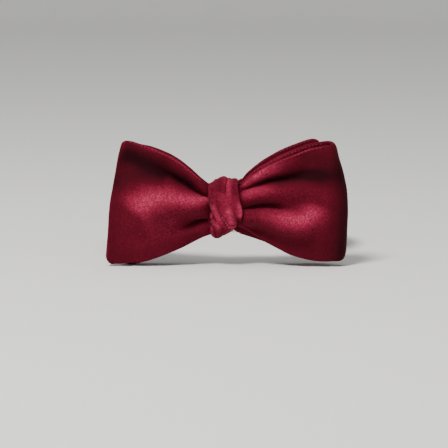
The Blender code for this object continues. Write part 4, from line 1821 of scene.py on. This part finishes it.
@dataclass
class Hardware:
    """The adjuster's plated metal pieces, each modelled in its own frame and then placed.

    Sizes are in millimetres, with X along the band, Y outwards and Z across the band.
    """

    finish: bpy.types.Material
    width: float = 15.2
    window: float = 12.8
    rounding: float = 0.28
    plate: float = 1.0
    shoulder: tuple[float, float] = (3.5, 8.0)
    tongue: float = 8.0
    reach: float = 15.4
    lip: float = 3.6
    eye_width: float = 15.6
    eye_length: float = 9.6
    eye_corner: float = 1.2
    wire: float = 1.6

    def fit(self, made: bpy.types.Object, place: float, origin: Grid) -> bpy.types.Object:
        """Put a finished piece in its place on the ring and dress it.

        Args:
            made: The piece, modelled about the world's origin.
            place: The ring place that gives its axes.
            origin: Where its own origin goes.

        Returns:
            The same piece.
        """
        return dress(settle(made, RING.frame(place, origin)), self.finish)

    def slide(self) -> bpy.types.Object:
        """Make the slide: two rails, two outer bars and a lower middle bar.

        Returns:
            The finished slide.
        """
        half, hole, far = self.width / 2, self.window / 2, 20
        made = add_box("slide_frame", (-5, -2.8, -half), (5, 1.6, half))
        strap_way = ((-far, -1.8, -hole), (far, 0.6, hole))
        outer_window = ((-3.8, 0, -hole), (3.8, far, hole))
        beside_bar = ((0.5, -far, -hole), (far, -1.7, hole)), ((-far, -far, -hole), (-0.5, -1.7, hole))
        for low, high in (strap_way, outer_window, *beside_bar):
            carve(made, add_box("slide_tool", low, high), "DIFFERENCE")
        round_edges(made, self.rounding * MM)
        return self.fit(made, SLIDE_PLACE, RING.point(SLIDE_PLACE, RING.middle, 0))

    def hook(self) -> bpy.types.Object:
        """Make the hook: a strap slot, tapered shoulders and a turned-down lip.

        Returns:
            The finished hook.
        """
        half, hole, tongue, plate = self.width / 2, self.window / 2, self.tongue / 2, self.plate / 2
        first, last = self.shoulder
        made = add_box("hook_plate", (-plate, -plate, -half), (first, plate, half))
        shoulder = add_box("hook_shoulder", (first, -plate, -half), (last, plate, half))
        for vertex in shoulder.data.vertices:
            if vertex.co.x > (first + last) / 2 * MM:
                vertex.co.z *= tongue / half
        carve(made, shoulder, "UNION")
        carve(made, add_box("hook_tongue", (last, -plate, -tongue), (self.reach, plate, tongue)), "UNION")
        lip = (self.reach - self.plate, -self.lip, -tongue)
        carve(made, add_box("hook_lip", lip, (self.reach, plate, tongue)), "UNION")
        carve(made, add_box("hook_slot", (0.5, -5, -hole), (2.7, 5, hole)), "DIFFERENCE")
        round_edges(made, self.rounding * MM)
        return self.fit(made, CLOSURE, RING.point(*HOOK_BAR, 0))

    def eye(self) -> bpy.types.Object:
        """Make the eye: a round wire bent into a closed oblong ring.

        Returns:
            The finished eye.
        """
        half, length, corner = self.eye_width / 2 * MM, self.eye_length * MM, self.eye_corner * MM
        bpy.ops.object.select_all(action="DESELECT")
        bpy.ops.curve.primitive_bezier_circle_add(radius=length)
        bpy.ops.object.mode_set(mode="EDIT")
        bpy.ops.curve.select_all(action="SELECT")
        bpy.ops.curve.subdivide(number_cuts=1)
        bpy.ops.object.mode_set(mode="OBJECT")
        made = bpy.context.active_object
        bend, straight = corner * QUARTER_TURN_HANDLE, 1 * MM
        ends = [
            ((0, half - corner), (0, 1)), ((-corner, half), (-1, 0)),
            ((-length + corner, half), (-1, 0)), ((-length, half - corner), (0, -1)),
            ((-length, corner - half), (0, -1)), ((-length + corner, -half), (1, 0)),
            ((-corner, -half), (1, 0)), ((0, corner - half), (0, 1)),
        ]
        for i, (point, ((x, z), (dx, dz))) in enumerate(zip(made.data.splines[0].bezier_points, ends)):
            point.handle_left_type = point.handle_right_type = "FREE"
            after, before = (bend, straight) if i % 2 == 0 else (straight, bend)
            point.co = (x, 0, z)
            point.handle_right = (x + dx * after, 0, z + dz * after)
            point.handle_left = (x - dx * before, 0, z - dz * before)
        made.data.dimensions = "3D"
        made.data.bevel_depth = self.wire / 2 * MM
        made.data.bevel_resolution = 5
        made.data.resolution_u = 8
        select_only(made)
        bpy.ops.object.convert(target="MESH")
        made = bpy.context.active_object
        made.name = "eye_ring"
        select_only(made)
        bpy.ops.object.shade_smooth()
        recalculate(made)
        return self.fit(made, CLOSURE, RING.point(*EYE_BAR, 0))


# ---------------------------------------------------------------- the studio


@dataclass
class Studio:
    """A pale paper sweep, soft lamps and a long lens at the bow's own height, in metres."""

    aim: tuple[float, float, float] = (-0.0008, -0.012, -0.009)
    distance: float = 1.4
    elevation: float = 7.8
    view_width: float = 0.2374
    film_width: float = 36.0
    floor_height: float = -0.03115
    floor_centre: float = 0.05
    floor_radius: float = 2.0
    curve_radius: float = 0.5
    wall_height: float = 1.3

    def sweep(self) -> bpy.types.Object:
        """Lay a round paper floor and curve it up far outside the camera's circle.

        Returns:
            The paper.
        """
        flat, bend, sides = self.floor_radius, self.curve_radius, 72
        profile = [(0.3, 0.0), (1.2, 0.0), (flat, 0.0)]
        for angle in np.radians(np.linspace(0, 90, 16)[1:]):
            profile.append((flat + bend * sin(angle), bend * (1 - cos(angle))))
        profile.append((flat + bend, self.wall_height))
        points = [(0.0, self.floor_centre, self.floor_height)]
        for radius, height in profile:
            for angle in np.linspace(0, 2 * pi, sides, endpoint=False):
                y = self.floor_centre + radius * sin(angle)
                points.append((radius * cos(angle), y, height + self.floor_height))
        faces = [(0, 1 + k, 1 + (k + 1) % sides) for k in range(sides)]
        for ring in range(1, 1 + (len(profile) - 1) * sides, sides):
            for k in range(sides):
                a, b = ring + k, ring + (k + 1) % sides
                faces.append((a, a + sides, b + sides, b))
        made = mesh_object("sweep", np.array(points), faces)
        made.data.materials.append(BackdropFinish().material())
        return made

    def lamp(self, name: str, place: tuple, size: float, power: float, colour: Colour) -> None:
        """Hang a square soft lamp that looks at the bow.

        Args:
            name: The lamp's name.
            place: Where it hangs.
            size: The length of its side.
            power: How strong it is, in watts.
            colour: Its colour.
        """
        light = bpy.data.lights.new(name, "AREA")
        light.shape = "SQUARE"
        light.size = size
        light.energy = power
        light.color = colour
        made = bpy.data.objects.new(name, light)
        made.location = place
        made.rotation_euler = (Vector(self.aim) - Vector(place)).to_track_quat("-Z", "Y").to_euler()
        bpy.context.scene.collection.objects.link(made)

    def camera(self) -> None:
        """Place the camera at the object's usual viewing angle."""
        lens = bpy.data.cameras.new("camera")
        lens.sensor_width = self.film_width
        lens.lens = self.film_width * self.distance / self.view_width
        made = bpy.data.objects.new("camera", lens)
        tilt = radians(self.elevation)
        away = Vector((0, -cos(tilt), sin(tilt))) * self.distance
        made.location = Vector(self.aim) + away
        made.rotation_euler = (-away).to_track_quat("-Z", "Y").to_euler()
        bpy.context.scene.collection.objects.link(made)
        bpy.context.scene.camera = made

    def world(self) -> None:
        """Fill the shadows with a faint even light."""
        made = bpy.data.worlds.new("studio")
        made.use_nodes = True
        back = made.node_tree.nodes["Background"]
        back.inputs["Color"].default_value = (1.0, 0.985, 0.965, 1)
        back.inputs["Strength"].default_value = 0.11
        bpy.context.scene.world = made

    def set_up(self) -> None:
        """Build the whole studio."""
        self.sweep()
        self.lamp("key", (-0.38, -0.60, 1.12), 0.36, 21.0, (1.0, 0.985, 0.96))
        self.lamp("fill", (0.2, -1.2, 0.30), 0.8, 0.9, (0.98, 0.99, 1.0))
        self.lamp("ceiling", (0.0, 0.3, 2.6), 3.0, 34.0, (1.0, 1.0, 1.0))
        self.camera()
        self.world()


# ---------------------------------------------------------------- assembly


def shells(piece: str, outer: str, inner: str) -> list[str]:
    """Name the CAD nodes of a sewn piece: its two shells and the interlining between them."""
    return [f"{piece}_{layer}" for layer in (outer, "interlining", inner)]


@dataclass
class BowTie:
    """The whole tie: builds each piece, fixes it to its body and hides the CAD parts it replaces."""

    wardrobe: Wardrobe

    def blades(self) -> None:
        """Make the two blades and their edge stitches."""
        seams_a = ((0.41, 0.62, 0.55), (0.76, 0.985, 0.5), (0.10, 0.32, 0.9))
        seams_b = ((0.76, 0.97, 0.45),)
        plans = (
            (make_blade_a(), (0.0665, 0.200), 0.0108, seams_a),
            (make_blade_b(), (0.0660, 0.196), 0.0092, seams_b),
        )
        for blade, flat, area, seams in plans:
            piece = blade.build(self.wardrobe.velvet)
            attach(piece, "bow")
            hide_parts(*shells(blade.name, "front_shell", "back_shell"))
            for number, (first, last, inset) in enumerate(seams):
                name = f"{blade.name}_stitches_{number}"
                line = blade.edge_line(first, last, inset)
                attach(EDGE_STITCH.sew(name, *line, self.wardrobe.thread), "bow")
            LOG.info("%s: %d faces", blade.name, len(piece.data.polygons))

    def knot(self) -> None:
        """Make the knot's wrap and its closing stitches."""
        knot = Knot()
        piece = knot.build(self.wardrobe.velvet)
        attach(piece, "bow")
        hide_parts(*shells("knot_wrap", "front_shell", "back_shell"))
        seam = [(-1.9, -4.0), (-0.9, -5.8), (0.4, -7.8), (1.5, -9.7), (2.3, -11.3)]
        line = knot.on_front(seam, knot.thickness / 2 + 0.15 * MM)
        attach(CLOSING_STITCH.sew("knot_stitches", *line, self.wardrobe.highlit_closing_thread), "bow")
        LOG.info("knot: %d faces", len(piece.data.polygons))

    def bands(self) -> None:
        """Make the two neck bands."""
        right = Band(name="right_band", start=-BAND_FRONT, end=RIGHT_BAND_END, flat=18.5 * MM)
        piece = right.build(self.wardrobe.velvet)
        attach(piece, "bow")
        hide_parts(*shells("right_band", "outer_shell", "inner_shell"))
        left = Band(name="left_band", start=BAND_FRONT - 0.25 * MM, end=LEFT_BAND_END)
        piece = left.build(self.wardrobe.velvet)
        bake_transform(piece)
        nodes = shells("left_band", "outer_shell", "inner_shell")
        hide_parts(*nodes, "left_band_tab_outer_shell", "left_band_tab_inner_shell")
        LOG.info("bands: made")

    def straps(self) -> None:
        """Make the ribbons and their bar tacks."""
        ribbon, thread = self.wardrobe.ribbon, self.wardrobe.thread
        piece = main_run().build(ribbon)
        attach(piece, "left_band_end")
        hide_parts("strap_main_run")
        piece = return_leg().build(ribbon)
        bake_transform(piece)
        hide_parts("strap_return_leg")
        piece = eye_loop().build(ribbon)
        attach(piece, "bow")
        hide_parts("eye_loop")
        outer = RING.radius + BAND_THICKNESS + 0.08 * MM
        for name, place, body in (
            ("tack_strap_to_band", LEFT_BAND_END + 4 * MM, "left_band_end"),
            ("tack_eye_loop", RIGHT_BAND_END - 3 * MM, "bow"),
        ):
            tack = bar_tack(name + "_sewn", place, outer, thread)
            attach(tack, body)
            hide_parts(name)
        under = SLIDE_BAR[1] - SLIDE_TURN - 0.38 * MM
        tack = bar_tack("tack_return_leg_sewn", SLIDE_PLACE - 2.8 * MM, under, thread)
        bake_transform(tack)
        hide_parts("tack_return_leg")
        LOG.info("straps: made")

    def hardware(self) -> None:
        """Make the slide, the hook and the eye."""
        metal = Hardware(self.wardrobe.metal)
        for node, piece in (("slide", metal.slide()), ("hook", metal.hook()), ("eye", metal.eye())):
            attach(piece, node)
            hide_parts(node)
            LOG.info("%s: %d faces", node, len(piece.data.polygons))


def main() -> None:
    """Build the tie and its studio in order."""
    logging.basicConfig(level=logging.INFO, format="%(name)s: %(message)s")
    tie = BowTie(Wardrobe())
    tie.blades()
    tie.knot()
    tie.bands()
    tie.straps()
    tie.hardware()
    Studio().set_up()
    LOG.info("studio: ready")


if __name__ == "__main__":
    main()
